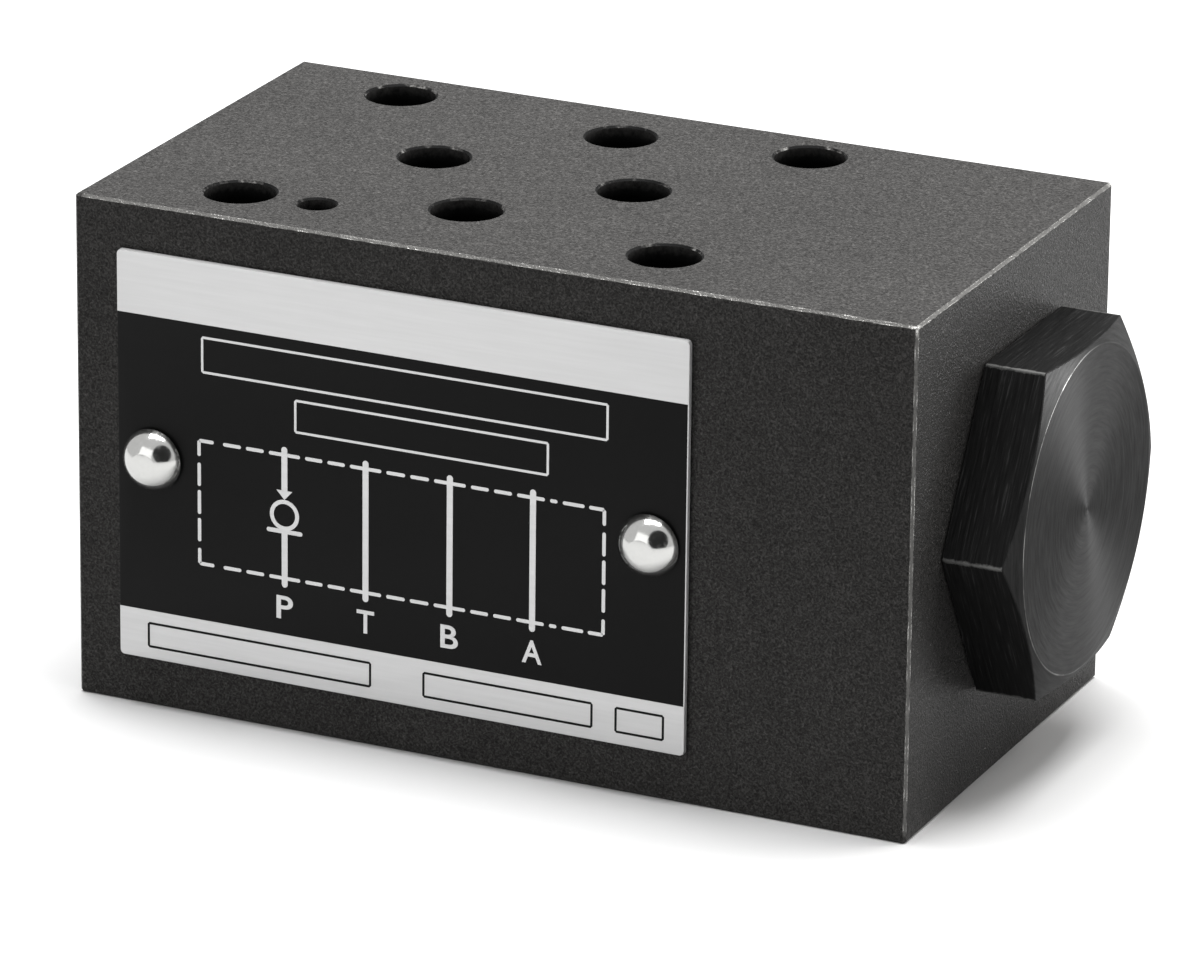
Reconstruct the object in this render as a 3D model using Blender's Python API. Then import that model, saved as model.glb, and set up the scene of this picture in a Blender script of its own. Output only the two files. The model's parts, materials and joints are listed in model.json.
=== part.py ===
"""Sandwich check valve: a drilled block with straight ports A, B and T and a check poppet in line P.

Metres, +Z up. The origin is the middle of the bolt pattern on the bottom face. +X runs to the end with the
plug, and the name plate is on the front, at -Y. The cavity for the check cartridge runs along X, from the
right end. Oil enters the bottom P port, goes up the low gallery to the chamber behind the seat, lifts the
poppet, and leaves through the sleeve's windows and the high gallery to the top P port.
"""

import math

import bmesh
import bpy
from mathutils import Matrix, Vector

# Block
BODY_LENGTH = 0.0800
BODY_DEPTH = 0.0440
BODY_HEIGHT = 0.0468
EDGE_BREAK = 0.0005

# The middle of the bolt pattern lies this far left of the block's middle, and this far behind it
PATTERN_LEFT_OF_MIDDLE = 0.0070
PATTERN_BEHIND_MIDDLE = 0.0011

# Bolt holes and the locating pin's hole, as the standard pattern has them
BOLT_SPACING_X = 0.0405
BOLT_SPACING_Y = 0.0310
PIN_SIDE_SHIFT = 0.00075
BOLT_HOLE_RADIUS = 0.0032
PIN_HOLE_RADIUS = 0.0017
PIN_HOLE_DEPTH = 0.0050
PIN_FROM_BOLT_X = 0.0075
MOUTH_CHAMFER = 0.00015

# Ports, from the middle of the bolt pattern
PORT_RADIUS = 0.0032
PORT_P_X, PORT_P_Y = -0.0004, -0.0118
PORT_T_X, PORT_T_Y = 0.0028, 0.0132
PORT_A_X, PORT_A_Y = 0.0103, -0.0003
PORT_B_X, PORT_B_Y = -0.0095, 0.0004
RECESS_RADIUS = 0.0062
RECESS_DEPTH = 0.0014
PORT_SEAL_WIDTH = 0.0021

# Cavity, stepped down from the plug's thread to the chamber behind the seat
CAVITY_Y = 0.0003
CAVITY_Z = 0.0240
WALL_TO_PORT_A = 0.0030
UPSTREAM_RADIUS = 0.0070
UPSTREAM_LENGTH = 0.0040
POCKET_RADIUS = 0.0080
POCKET_LENGTH = 0.0065
DOWNSTREAM_RADIUS = 0.0103
DOWNSTREAM_LENGTH = 0.0065
THREAD_RADIUS = 0.0120
PLUG_SEAL_RADIUS = 0.0132
PLUG_SEAL_DEPTH = 0.0028

# Galleries between the P ports and the cavity
GALLERY_RADIUS = 0.0024
LOW_GALLERY_SIDE = 0.0049
LOW_GALLERY_DROP = 0.0030
HIGH_GALLERY_SIDE = 0.0020
HIGH_GALLERY_RISE = 0.0098
HIGH_GALLERY_AT_PORT = 0.0150
GALLERY_OVERRUN = 0.0040

# Plug, turned from hexagon bar
HEX_ACROSS_FLATS = 0.0300
HEAD_HEIGHT = 0.0066
HEAD_FACE_RADIUS = 0.0146
HEAD_CHAMFER = math.radians(17)
PLUG_GROOVE_RADIUS = 0.0107
PLUG_END_CHAMFER = 0.0006
SOCKET_FLOOR_DEPTH = 0.0012

# Seat, sleeve, poppet and spring
SEAT_LENGTH = 0.0044
SEAT_BORE_RADIUS = 0.0040
SEAT_LAND = 0.0004
SEAT_GROOVE_START = 0.0013
SEAT_GROOVE_WIDTH = 0.0020
SEAT_GROOVE_RADIUS = 0.0061
SLEEVE_BORE_RADIUS = 0.0066
SLEEVE_BORE_DEPTH = 0.0059
SLEEVE_WINDOW_RADIUS = 0.0018
SLEEVE_WINDOW_FROM_END = 0.0037
WINDOW_COUNT = 4
POPPET_RADIUS = 0.0054
POPPET_NOSE_RADIUS = 0.0020
POPPET_BORE_RADIUS = 0.0040
POPPET_CROWN = 0.0016
POPPET_LIFT = 0.0030
VENT_RADIUS = 0.0007
SPRING_WIRE_RADIUS = 0.00045
SPRING_COIL_RADIUS = 0.0032
SPRING_TURNS = 8
SPRING_END_TURNS = 1.0

# Name plate and its drive screws
PLATE_LENGTH = 0.0550
PLATE_HEIGHT = 0.0379
PLATE_THICKNESS = 0.0005
PLATE_FROM_LEFT = 0.0045
PLATE_FROM_BOTTOM = 0.0047
PLATE_CORNER_RADIUS = 0.00045
SCREW_FROM_PLATE_END = 0.0035
SCREW_HEAD_RADIUS = 0.00285
SCREW_HEAD_HEIGHT = 0.0018
SCREW_SHANK_RADIUS = 0.0011
SCREW_SHANK_LENGTH = 0.0034

# Clearances
FACE_GAP = 0.0003
RUNNING_GAP = 0.0001
SEAL_GAP = 0.0002
PAST = 0.0010
MERGE = 0.000001

DRILL_TIP = math.radians(31)
BORE_SEGMENTS = 48
HOLE_SEGMENTS = 32
SMALL_SEGMENTS = 20
SEAL_SEGMENTS = 36
SEAL_SIDES = 8
SHARP_ANGLE = math.radians(30)

# Places worked out from the sizes above
RIGHT_X = BODY_LENGTH / 2 + PATTERN_LEFT_OF_MIDDLE
LEFT_X = RIGHT_X - BODY_LENGTH
FRONT_Y = -BODY_DEPTH / 2 - PATTERN_BEHIND_MIDDLE
BACK_Y = FRONT_Y + BODY_DEPTH
UPSTREAM_X = PORT_A_X + PORT_RADIUS + WALL_TO_PORT_A
SHOULDER_X = UPSTREAM_X + UPSTREAM_LENGTH
POCKET_END_X = SHOULDER_X + POCKET_LENGTH
THREAD_START_X = POCKET_END_X + DOWNSTREAM_LENGTH
SEAT_X = SHOULDER_X + FACE_GAP
SEAT_END_X = SEAT_X + SEAT_LENGTH
SLEEVE_X = SEAT_END_X + FACE_GAP
SOCKET_FLOOR_X = RIGHT_X - SOCKET_FLOOR_DEPTH
SLEEVE_LENGTH = SOCKET_FLOOR_X - FACE_GAP - SLEEVE_X
SLEEVE_RADIUS = POCKET_RADIUS - FACE_GAP
SHANK_RADIUS = THREAD_RADIUS - FACE_GAP
# The 45 degree cone stands off the seat's land by the face gap, measured square to the cone
POPPET_CONE_X = SEAT_END_X - SEAT_LAND + FACE_GAP * math.sqrt(2)
POPPET_NOSE_X = POPPET_CONE_X - (SEAT_BORE_RADIUS - POPPET_NOSE_RADIUS)
POPPET_LENGTH = SOCKET_FLOOR_X - FACE_GAP - POPPET_LIFT - POPPET_NOSE_X
CONE_LENGTH = POPPET_RADIUS - POPPET_NOSE_RADIUS
POPPET_FLOOR = CONE_LENGTH + POPPET_CROWN
SPRING_X = POPPET_NOSE_X + POPPET_FLOOR + FACE_GAP
SPRING_LENGTH = SOCKET_FLOOR_X - FACE_GAP - SPRING_X
PLATE_X = LEFT_X + PLATE_FROM_LEFT + PLATE_LENGTH / 2
PLATE_Z = PLATE_FROM_BOTTOM + PLATE_HEIGHT / 2
PLATE_BACK_Y = FRONT_Y - FACE_GAP
PLATE_FACE_Y = PLATE_BACK_Y - PLATE_THICKNESS
SCREW_HOLE_RADIUS = SCREW_SHANK_RADIUS + FACE_GAP

PORTS = {
    "p": (PORT_P_X, PORT_P_Y),
    "t": (PORT_T_X, PORT_T_Y),
    "a": (PORT_A_X, PORT_A_Y),
    "b": (PORT_B_X, PORT_B_Y),
}
BOLT_HOLES = [
    (BOLT_SPACING_X / 2, BOLT_SPACING_Y / 2),
    (-BOLT_SPACING_X / 2, BOLT_SPACING_Y / 2),
    (-BOLT_SPACING_X / 2, -BOLT_SPACING_Y / 2 - PIN_SIDE_SHIFT),
    (BOLT_SPACING_X / 2, -BOLT_SPACING_Y / 2),
]
PIN_HOLE = (-BOLT_SPACING_X / 2 + PIN_FROM_BOLT_X, -BOLT_SPACING_Y / 2 - PIN_SIDE_SHIFT)

# Local +Z of a turned piece laid along +X of the block, or pointing out of its front face
ALONG_X = Matrix.Rotation(math.pi / 2, 4, "Y")
OUT_OF_FRONT = Matrix.Rotation(math.pi / 2, 4, "X")


def clear_scene():
    for obj in list(bpy.data.objects):
        bpy.data.objects.remove(obj, do_unlink=True)


def make_material(name, colour, roughness, metallic):
    material = bpy.data.materials.new(name)
    material.use_nodes = True
    surface = material.node_tree.nodes["Principled BSDF"]
    surface.inputs["Base Color"].default_value = (*colour, 1.0)
    surface.inputs["Roughness"].default_value = roughness
    surface.inputs["Metallic"].default_value = metallic
    material.diffuse_color = (*colour, 1.0)
    return material


def add_object(name, shape, material=None, smooth=True):
    """Turns a bmesh into an object in the scene."""
    mesh = bpy.data.meshes.new(name)
    shape.to_mesh(mesh)
    shape.free()
    if smooth:
        mesh.shade_smooth()
        mesh.set_sharp_from_angle(angle=SHARP_ANGLE)
    if material:
        mesh.materials.append(material)
    obj = bpy.data.objects.new(name, mesh)
    bpy.context.scene.collection.objects.link(obj)
    return obj


def add_cutter(name, shape, place):
    cutter = add_object(name, shape)
    cutter.matrix_world = place
    cutter.hide_render = True
    cutter.display_type = "WIRE"
    return cutter


def cut(target, cutter, operation="DIFFERENCE"):
    boolean = target.modifiers.new(cutter.name, "BOOLEAN")
    boolean.operation = operation
    boolean.solver = "EXACT"
    boolean.object = cutter


def turned(outline, segments, closed=False):
    """Spins an outline of (height, radius) pairs about Z. A closed outline makes a ring."""
    shape = bmesh.new()
    points = [shape.verts.new((radius, 0.0, height)) for height, radius in outline]
    following = points[1:] + points[:1] if closed else points[1:]
    edges = [shape.edges.new(pair) for pair in zip(points, following)]
    bmesh.ops.spin(
        shape,
        geom=points + edges,
        cent=(0.0, 0.0, 0.0),
        axis=(0.0, 0.0, 1.0),
        angle=2 * math.pi,
        steps=segments,
        use_merge=True,
    )
    bmesh.ops.remove_doubles(shape, verts=shape.verts, dist=MERGE)
    bmesh.ops.recalc_face_normals(shape, faces=shape.faces)
    return shape


def squeezed_ring(middle_radius, half_width, half_height, height=0.0):
    """A round seal, squeezed to an oval section in its groove."""
    outline = []
    for side in range(SEAL_SIDES):
        angle = 2 * math.pi * (side + 0.5) / SEAL_SIDES
        outline.append(
            (
                height + half_height * math.sin(angle),
                middle_radius + half_width * math.cos(angle),
            )
        )
    return turned(outline, SEAL_SEGMENTS, closed=True)


def on_cavity_axis(x):
    return Matrix.Translation((x, CAVITY_Y, CAVITY_Z)) @ ALONG_X


def drilled_outline(radius, depth):
    """Outline of a blind hole down from height 0, with its broken mouth and drill tip."""
    return [
        (PAST, 0.0),
        (PAST, radius + MOUTH_CHAMFER),
        (0.0, radius + MOUTH_CHAMFER),
        (-MOUTH_CHAMFER, radius),
        (-depth, radius),
        (-depth - radius * math.tan(DRILL_TIP), 0.0),
    ]


def through_outline(radius):
    """Outline of a hole from the bottom face to the top face, broken at both mouths."""
    return [
        (-PAST, 0.0),
        (-PAST, radius + MOUTH_CHAMFER),
        (0.0, radius + MOUTH_CHAMFER),
        (MOUTH_CHAMFER, radius),
        (BODY_HEIGHT - MOUTH_CHAMFER, radius),
        (BODY_HEIGHT, radius + MOUTH_CHAMFER),
        (BODY_HEIGHT + PAST, radius + MOUTH_CHAMFER),
        (BODY_HEIGHT + PAST, 0.0),
    ]


def port_outline():
    """Outline of a straight port, with its seal's recess in the bottom face."""
    recess = [(-PAST, 0.0), (-PAST, RECESS_RADIUS), (RECESS_DEPTH, RECESS_RADIUS)]
    return recess + [(RECESS_DEPTH, PORT_RADIUS)] + through_outline(PORT_RADIUS)[4:]


def cavity_outline():
    """Outline of the stepped cavity, from the chamber behind the seat out to the right end."""
    steps = [
        (UPSTREAM_X, UPSTREAM_RADIUS),
        (SHOULDER_X, POCKET_RADIUS),
        (POCKET_END_X, DOWNSTREAM_RADIUS),
        (THREAD_START_X, THREAD_RADIUS),
        (RIGHT_X - PLUG_SEAL_DEPTH, PLUG_SEAL_RADIUS),
    ]
    outline = [(UPSTREAM_X, 0.0)]
    for (start, radius), (end, _) in zip(steps, steps[1:] + [(RIGHT_X, 0.0)]):
        outline += [(start, radius), (end, radius)]
    outline[-1] = (RIGHT_X - MOUTH_CHAMFER, PLUG_SEAL_RADIUS)
    mouth = PLUG_SEAL_RADIUS + MOUTH_CHAMFER
    outline += [(RIGHT_X, mouth), (RIGHT_X + PAST, mouth), (RIGHT_X + PAST, 0.0)]
    return [(station - RIGHT_X, radius) for station, radius in outline]


def gallery(name, start, target):
    """A plain drilling from a P port's axis, through its target point in the cavity and a little past it."""
    run = target - start
    length = run.length + GALLERY_OVERRUN
    outline = [(0.0, 0.0), (0.0, GALLERY_RADIUS), (length, GALLERY_RADIUS), (length, 0.0)]
    turn = Vector((0.0, 0.0, 1.0)).rotation_difference(run).to_matrix().to_4x4()
    return add_cutter(name, turned(outline, HOLE_SEGMENTS), Matrix.Translation(start) @ turn)


def low_gallery_start():
    return Vector((PORT_P_X, PORT_P_Y, CAVITY_Z - LOW_GALLERY_DROP))


def high_gallery_start():
    return Vector((PORT_P_X, PORT_P_Y, CAVITY_Z + HIGH_GALLERY_AT_PORT))


def make_body(iron):
    block = bmesh.new()
    size = Matrix.Diagonal((BODY_LENGTH, BODY_DEPTH, BODY_HEIGHT, 1.0))
    middle = ((LEFT_X + RIGHT_X) / 2, (FRONT_Y + BACK_Y) / 2, BODY_HEIGHT / 2)
    bmesh.ops.create_cube(block, size=1.0, matrix=Matrix.Translation(middle) @ size)
    body = add_object("valve_body", block, iron, smooth=False)
    edges = body.modifiers.new("broken_edges", "BEVEL")
    edges.width = EDGE_BREAK
    edges.segments = 2

    top = BODY_HEIGHT
    upside_down = Matrix.Rotation(math.pi, 4, "X")
    for number, (x, y) in enumerate(BOLT_HOLES, 1):
        shape = turned(through_outline(BOLT_HOLE_RADIUS), HOLE_SEGMENTS)
        cut(body, add_cutter(f"bolt_hole_{number}", shape, Matrix.Translation((x, y, 0.0))))
    for letter in "tab":
        shape = turned(port_outline(), HOLE_SEGMENTS)
        cut(body, add_cutter(f"port_{letter}", shape, Matrix.Translation((*PORTS[letter], 0.0))))

    # The P ports are blind: each ends just past the gallery that it feeds
    low_end = low_gallery_start().z + GALLERY_RADIUS + FACE_GAP
    high_end = high_gallery_start().z - GALLERY_RADIUS - FACE_GAP
    low_tip = low_end + PORT_RADIUS * math.tan(DRILL_TIP)
    shape = turned(port_outline()[:4] + [(low_end, PORT_RADIUS), (low_tip, 0.0)], HOLE_SEGMENTS)
    cut(body, add_cutter("port_p_bottom", shape, Matrix.Translation((*PORTS["p"], 0.0))))
    shape = turned(drilled_outline(PORT_RADIUS, top - high_end), HOLE_SEGMENTS)
    cut(body, add_cutter("port_p_top", shape, Matrix.Translation((*PORTS["p"], top))))

    for name, place in (
        ("pin_hole_top", Matrix.Translation((*PIN_HOLE, top))),
        ("pin_hole_bottom", Matrix.Translation((*PIN_HOLE, 0.0)) @ upside_down),
    ):
        shape = turned(drilled_outline(PIN_HOLE_RADIUS, PIN_HOLE_DEPTH), SMALL_SEGMENTS)
        cut(body, add_cutter(name, shape, place))
    hole_depth = SCREW_SHANK_LENGTH - (FRONT_Y - PLATE_FACE_Y)
    for name, x in screw_places():
        shape = turned(drilled_outline(SCREW_HOLE_RADIUS, hole_depth), SMALL_SEGMENTS)
        place = Matrix.Translation((x, FRONT_Y, PLATE_Z)) @ OUT_OF_FRONT
        cut(body, add_cutter(f"{name}_hole", shape, place))

    shape = turned(cavity_outline(), BORE_SEGMENTS)
    cut(body, add_cutter("cavity", shape, on_cavity_axis(RIGHT_X)))
    low_target = Vector(
        (
            UPSTREAM_X + UPSTREAM_LENGTH / 2,
            CAVITY_Y - LOW_GALLERY_SIDE,
            CAVITY_Z - LOW_GALLERY_DROP,
        )
    )
    high_target = Vector(
        (
            POCKET_END_X + DOWNSTREAM_LENGTH / 2,
            CAVITY_Y - HIGH_GALLERY_SIDE,
            CAVITY_Z + HIGH_GALLERY_RISE,
        )
    )
    cut(body, gallery("low_gallery", low_gallery_start(), low_target))
    cut(body, gallery("high_gallery", high_gallery_start(), high_target))
    return body


def make_plug(steel):
    """The hexagon bar, cut to the plug's turned outline with its socket for the sleeve."""
    corner_radius = HEX_ACROSS_FLATS / math.sqrt(3)
    bar_end = THREAD_START_X - RIGHT_X
    bar = bmesh.new()
    middle = Matrix.Translation((0.0, 0.0, (bar_end + HEAD_HEIGHT) / 2))
    bmesh.ops.create_cone(
        bar,
        cap_ends=True,
        segments=6,
        radius1=corner_radius,
        radius2=corner_radius,
        depth=HEAD_HEIGHT - bar_end + 2 * PAST,
        matrix=middle,
    )
    plug = add_object("hex_plug", bar, steel, smooth=False)
    plug.matrix_world = on_cavity_axis(RIGHT_X)

    shank_end = bar_end + PAST
    floor = -SOCKET_FLOOR_DEPTH
    rim = corner_radius + PAST
    rim_height = HEAD_HEIGHT - (rim - HEAD_FACE_RADIUS) * math.tan(HEAD_CHAMFER)
    outline = [
        (floor, 0.0),
        (floor, POCKET_RADIUS),
        (shank_end, POCKET_RADIUS),
        (shank_end, SHANK_RADIUS - PLUG_END_CHAMFER),
        (shank_end + PLUG_END_CHAMFER, SHANK_RADIUS),
        (-PLUG_SEAL_DEPTH + FACE_GAP, SHANK_RADIUS),
        (-PLUG_SEAL_DEPTH + FACE_GAP, PLUG_GROOVE_RADIUS),
        (FACE_GAP, PLUG_GROOVE_RADIUS),
        (FACE_GAP, rim),
        (rim_height, rim),
        (HEAD_HEIGHT, HEAD_FACE_RADIUS),
        (HEAD_HEIGHT, 0.0),
    ]
    blank = add_cutter("plug_outline", turned(outline, BORE_SEGMENTS), on_cavity_axis(RIGHT_X))
    cut(plug, blank, "INTERSECT")
    return plug


def make_seat(steel):
    groove_end = SEAT_GROOVE_START + SEAT_GROOVE_WIDTH
    outline = [
        (0.0, SEAT_BORE_RADIUS + SEAT_LAND),
        (0.0, SLEEVE_RADIUS),
        (SEAT_GROOVE_START, SLEEVE_RADIUS),
        (SEAT_GROOVE_START, SEAT_GROOVE_RADIUS),
        (groove_end, SEAT_GROOVE_RADIUS),
        (groove_end, SLEEVE_RADIUS),
        (SEAT_LENGTH, SLEEVE_RADIUS),
        (SEAT_LENGTH, SEAT_BORE_RADIUS + SEAT_LAND),
        (SEAT_LENGTH - SEAT_LAND, SEAT_BORE_RADIUS),
        (SEAT_LAND, SEAT_BORE_RADIUS),
    ]
    seat = add_object("valve_seat", turned(outline, BORE_SEGMENTS, closed=True), steel)
    seat.matrix_world = on_cavity_axis(SEAT_X)
    return seat


def cross_drill(target, name, x, radius, reach, turn):
    """Radial holes through a turned piece, drilled straight across it two at a time."""
    outline = [(-reach, 0.0), (-reach, radius), (reach, radius), (reach, 0.0)]
    for number in range(WINDOW_COUNT // 2):
        angle = turn + 2 * math.pi * number / WINDOW_COUNT
        place = Matrix.Translation((x, CAVITY_Y, CAVITY_Z)) @ Matrix.Rotation(angle, 4, "X")
        shape = turned(outline, SMALL_SEGMENTS)
        cut(target, add_cutter(f"{name}_{number + 1}", shape, place))


def make_sleeve(steel):
    guide_radius = POPPET_RADIUS + RUNNING_GAP
    outline = [
        (0.0, SLEEVE_BORE_RADIUS),
        (0.0, SLEEVE_RADIUS),
        (SLEEVE_LENGTH, SLEEVE_RADIUS),
        (SLEEVE_LENGTH, guide_radius),
        (SLEEVE_BORE_DEPTH, guide_radius),
        (SLEEVE_BORE_DEPTH, SLEEVE_BORE_RADIUS),
    ]
    sleeve = add_object("guide_sleeve", turned(outline, BORE_SEGMENTS, closed=True), steel)
    sleeve.matrix_world = on_cavity_axis(SLEEVE_X)
    window_x = SLEEVE_X + SLEEVE_WINDOW_FROM_END
    reach = SLEEVE_RADIUS + PAST
    cross_drill(sleeve, "window", window_x, SLEEVE_WINDOW_RADIUS, reach, 0.0)
    return sleeve


def make_poppet(steel):
    """A hollow piston with a cone nose, its origin on the joint's axis at the nose."""
    outline = [
        (0.0, 0.0),
        (0.0, POPPET_NOSE_RADIUS),
        (CONE_LENGTH, POPPET_RADIUS),
        (POPPET_LENGTH, POPPET_RADIUS),
        (POPPET_LENGTH, POPPET_BORE_RADIUS),
        (POPPET_FLOOR, POPPET_BORE_RADIUS),
        (POPPET_FLOOR, 0.0),
    ]
    poppet = add_object("check_poppet", turned(outline, BORE_SEGMENTS), steel)
    poppet.matrix_world = on_cavity_axis(POPPET_NOSE_X)
    vent_x = POPPET_NOSE_X + POPPET_FLOOR + 2 * VENT_RADIUS
    cross_drill(poppet, "vent", vent_x, VENT_RADIUS, POPPET_RADIUS + PAST, math.radians(45))
    return poppet


def make_spring(steel):
    """A compression spring whose end turns lie close, as wound."""
    points_per_turn = 14
    rise = SPRING_LENGTH - 2 * SPRING_WIRE_RADIUS
    close_pitch = 2 * SPRING_WIRE_RADIUS + SEAL_GAP
    active_turns = SPRING_TURNS - 2 * SPRING_END_TURNS
    open_pitch = (rise - 2 * SPRING_END_TURNS * close_pitch) / active_turns
    count = SPRING_TURNS * points_per_turn + 1

    curve = bpy.data.curves.new("check_spring", "CURVE")
    curve.dimensions = "3D"
    curve.bevel_depth = SPRING_WIRE_RADIUS
    curve.bevel_resolution = 2
    curve.use_fill_caps = True
    spline = curve.splines.new("POLY")
    spline.points.add(count - 1)
    height = SPRING_WIRE_RADIUS
    for index, point in enumerate(spline.points):
        turns = index / points_per_turn
        angle = 2 * math.pi * turns
        x = SPRING_COIL_RADIUS * math.cos(angle)
        y = SPRING_COIL_RADIUS * math.sin(angle)
        point.co = (x, y, height, 1.0)
        at_end = turns < SPRING_END_TURNS or turns >= SPRING_TURNS - SPRING_END_TURNS
        height += (close_pitch if at_end else open_pitch) / points_per_turn
    curve.materials.append(steel)
    spring = bpy.data.objects.new("check_spring", curve)
    bpy.context.scene.collection.objects.link(spring)
    spring.matrix_world = on_cavity_axis(SPRING_X)
    return spring


def make_cavity_seals(rubber):
    half_depth = (PLUG_SEAL_RADIUS - PLUG_GROOVE_RADIUS) / 2
    half_width = (PLUG_SEAL_DEPTH - FACE_GAP) / 2
    shape = squeezed_ring(
        PLUG_GROOVE_RADIUS + half_depth, half_depth - SEAL_GAP, half_width - SEAL_GAP
    )
    ring = add_object("plug_o_ring", shape, rubber)
    ring.matrix_world = on_cavity_axis(RIGHT_X + FACE_GAP / 2 - PLUG_SEAL_DEPTH / 2)

    half_depth = (POCKET_RADIUS - SEAT_GROOVE_RADIUS) / 2
    shape = squeezed_ring(
        SEAT_GROOVE_RADIUS + half_depth, half_depth - SEAL_GAP, SEAT_GROOVE_WIDTH / 2 - SEAL_GAP
    )
    ring = add_object("seat_o_ring", shape, rubber)
    ring.matrix_world = on_cavity_axis(SEAT_X + SEAT_GROOVE_START + SEAT_GROOVE_WIDTH / 2)


def make_port_seals(rubber):
    """Face seals, squeezed flush with the bottom face as they are in the stack."""
    middle_radius = RECESS_RADIUS - SEAL_GAP - PORT_SEAL_WIDTH / 2
    half_height = (RECESS_DEPTH - SEAL_GAP) / 2
    for letter, (x, y) in PORTS.items():
        shape = squeezed_ring(middle_radius, PORT_SEAL_WIDTH / 2, half_height)
        ring = add_object(f"port_o_ring_{letter}", shape, rubber)
        ring.location = (x, y, half_height)


def screw_places():
    from_middle = PLATE_LENGTH / 2 - SCREW_FROM_PLATE_END
    return (
        ("drive_screw_left", PLATE_X - from_middle),
        ("drive_screw_right", PLATE_X + from_middle),
    )


def make_plate(aluminium):
    sheet = bmesh.new()
    size = Matrix.Diagonal((PLATE_LENGTH, PLATE_THICKNESS, PLATE_HEIGHT, 1.0))
    bmesh.ops.create_cube(sheet, size=1.0, matrix=size)
    upright = [e for e in sheet.edges if abs((e.verts[0].co - e.verts[1].co).y) > MERGE]
    bmesh.ops.bevel(
        sheet, geom=upright, offset=PLATE_CORNER_RADIUS, segments=4, profile=0.5, affect="EDGES"
    )
    plate = add_object("name_plate", sheet, aluminium, smooth=False)
    plate.location = (PLATE_X, PLATE_BACK_Y - PLATE_THICKNESS / 2, PLATE_Z)
    outline = [
        (-PAST, 0.0),
        (-PAST, SCREW_HOLE_RADIUS),
        (PLATE_THICKNESS + PAST, SCREW_HOLE_RADIUS),
        (PLATE_THICKNESS + PAST, 0.0),
    ]
    for name, x in screw_places():
        place = Matrix.Translation((x, PLATE_BACK_Y, PLATE_Z)) @ OUT_OF_FRONT
        cut(plate, add_cutter(f"{name}_clearance", turned(outline, SMALL_SEGMENTS), place))
    return plate


def make_drive_screws(nickel):
    """Round-head drive screws. Height 0 of the outline is the underside of the head."""
    sphere_radius = (SCREW_HEAD_RADIUS**2 + SCREW_HEAD_HEIGHT**2) / (2 * SCREW_HEAD_HEIGHT)
    half_angle = math.asin(SCREW_HEAD_RADIUS / sphere_radius)
    arc_steps = 7
    outline = [(-SCREW_SHANK_LENGTH + SCREW_SHANK_RADIUS, 0.0)]
    outline += [(-SCREW_SHANK_LENGTH + 1.5 * SCREW_SHANK_RADIUS, SCREW_SHANK_RADIUS)]
    outline += [(0.0, SCREW_SHANK_RADIUS)]
    for step in range(arc_steps):
        angle = half_angle * (1 - step / arc_steps)
        height = SCREW_HEAD_HEIGHT - sphere_radius * (1 - math.cos(angle))
        outline.append((height, sphere_radius * math.sin(angle)))
    outline.append((SCREW_HEAD_HEIGHT, 0.0))
    for name, x in screw_places():
        screw = add_object(name, turned(outline, HOLE_SEGMENTS), nickel)
        screw.matrix_world = (
            Matrix.Translation((x, PLATE_FACE_Y - FACE_GAP, PLATE_Z)) @ OUT_OF_FRONT
        )


def main():
    clear_scene()
    iron = make_material("phosphated_iron", (0.045, 0.044, 0.043), 0.62, 0.55)
    black_steel = make_material("black_oxide_steel", (0.030, 0.030, 0.031), 0.42, 0.85)
    bright_steel = make_material("ground_steel", (0.45, 0.45, 0.46), 0.28, 1.0)
    rubber = make_material("nitrile_rubber", (0.012, 0.012, 0.013), 0.60, 0.0)
    aluminium = make_material("plate_aluminium", (0.72, 0.72, 0.73), 0.40, 0.9)
    nickel = make_material("nickel_plate", (0.80, 0.80, 0.81), 0.14, 1.0)

    make_body(iron)
    make_plug(black_steel)
    make_seat(bright_steel)
    make_sleeve(bright_steel)
    make_poppet(bright_steel)
    make_spring(bright_steel)
    make_cavity_seals(rubber)
    make_port_seals(rubber)
    make_plate(aluminium)
    make_drive_screws(nickel)


main()
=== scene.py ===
"""Sandwich check valve: the dressed model around its fixed frame, with its stage and camera.

Metres, +Z up. The block stands on its bottom face, the name plate faces -Y, and the hexagon plug closes the
right end, at +X. Each operator makes one piece of the valve, or one group of like pieces.
"""

import json
import math
from functools import partial

import bpy
from bpy.props import FloatProperty, FloatVectorProperty, IntProperty, PointerProperty
from mathutils import Matrix, Vector


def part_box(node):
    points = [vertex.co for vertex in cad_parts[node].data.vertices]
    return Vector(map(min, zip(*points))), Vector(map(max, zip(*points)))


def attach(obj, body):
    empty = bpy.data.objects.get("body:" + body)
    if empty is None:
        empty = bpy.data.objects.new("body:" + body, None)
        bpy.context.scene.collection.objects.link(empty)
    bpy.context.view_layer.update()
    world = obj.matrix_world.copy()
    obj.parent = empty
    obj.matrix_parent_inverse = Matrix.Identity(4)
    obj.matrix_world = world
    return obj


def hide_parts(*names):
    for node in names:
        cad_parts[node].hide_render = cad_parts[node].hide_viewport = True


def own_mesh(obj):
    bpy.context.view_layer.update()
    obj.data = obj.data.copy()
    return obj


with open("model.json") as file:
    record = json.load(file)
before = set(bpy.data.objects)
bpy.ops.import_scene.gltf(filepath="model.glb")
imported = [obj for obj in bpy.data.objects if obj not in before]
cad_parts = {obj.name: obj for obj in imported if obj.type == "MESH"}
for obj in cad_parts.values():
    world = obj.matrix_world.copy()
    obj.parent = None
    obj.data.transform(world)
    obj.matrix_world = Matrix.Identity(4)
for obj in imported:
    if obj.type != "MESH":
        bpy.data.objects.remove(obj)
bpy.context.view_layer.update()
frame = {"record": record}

bl_info = {
    "name": "Sandwich check valve",
    "version": (1, 0, 0),
    "blender": (4, 5, 0),
    "location": "3D View > Sidebar > Valve",
    "description": "Models and dresses a sandwich check valve piece by piece",
    "category": "Object",
}

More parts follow.
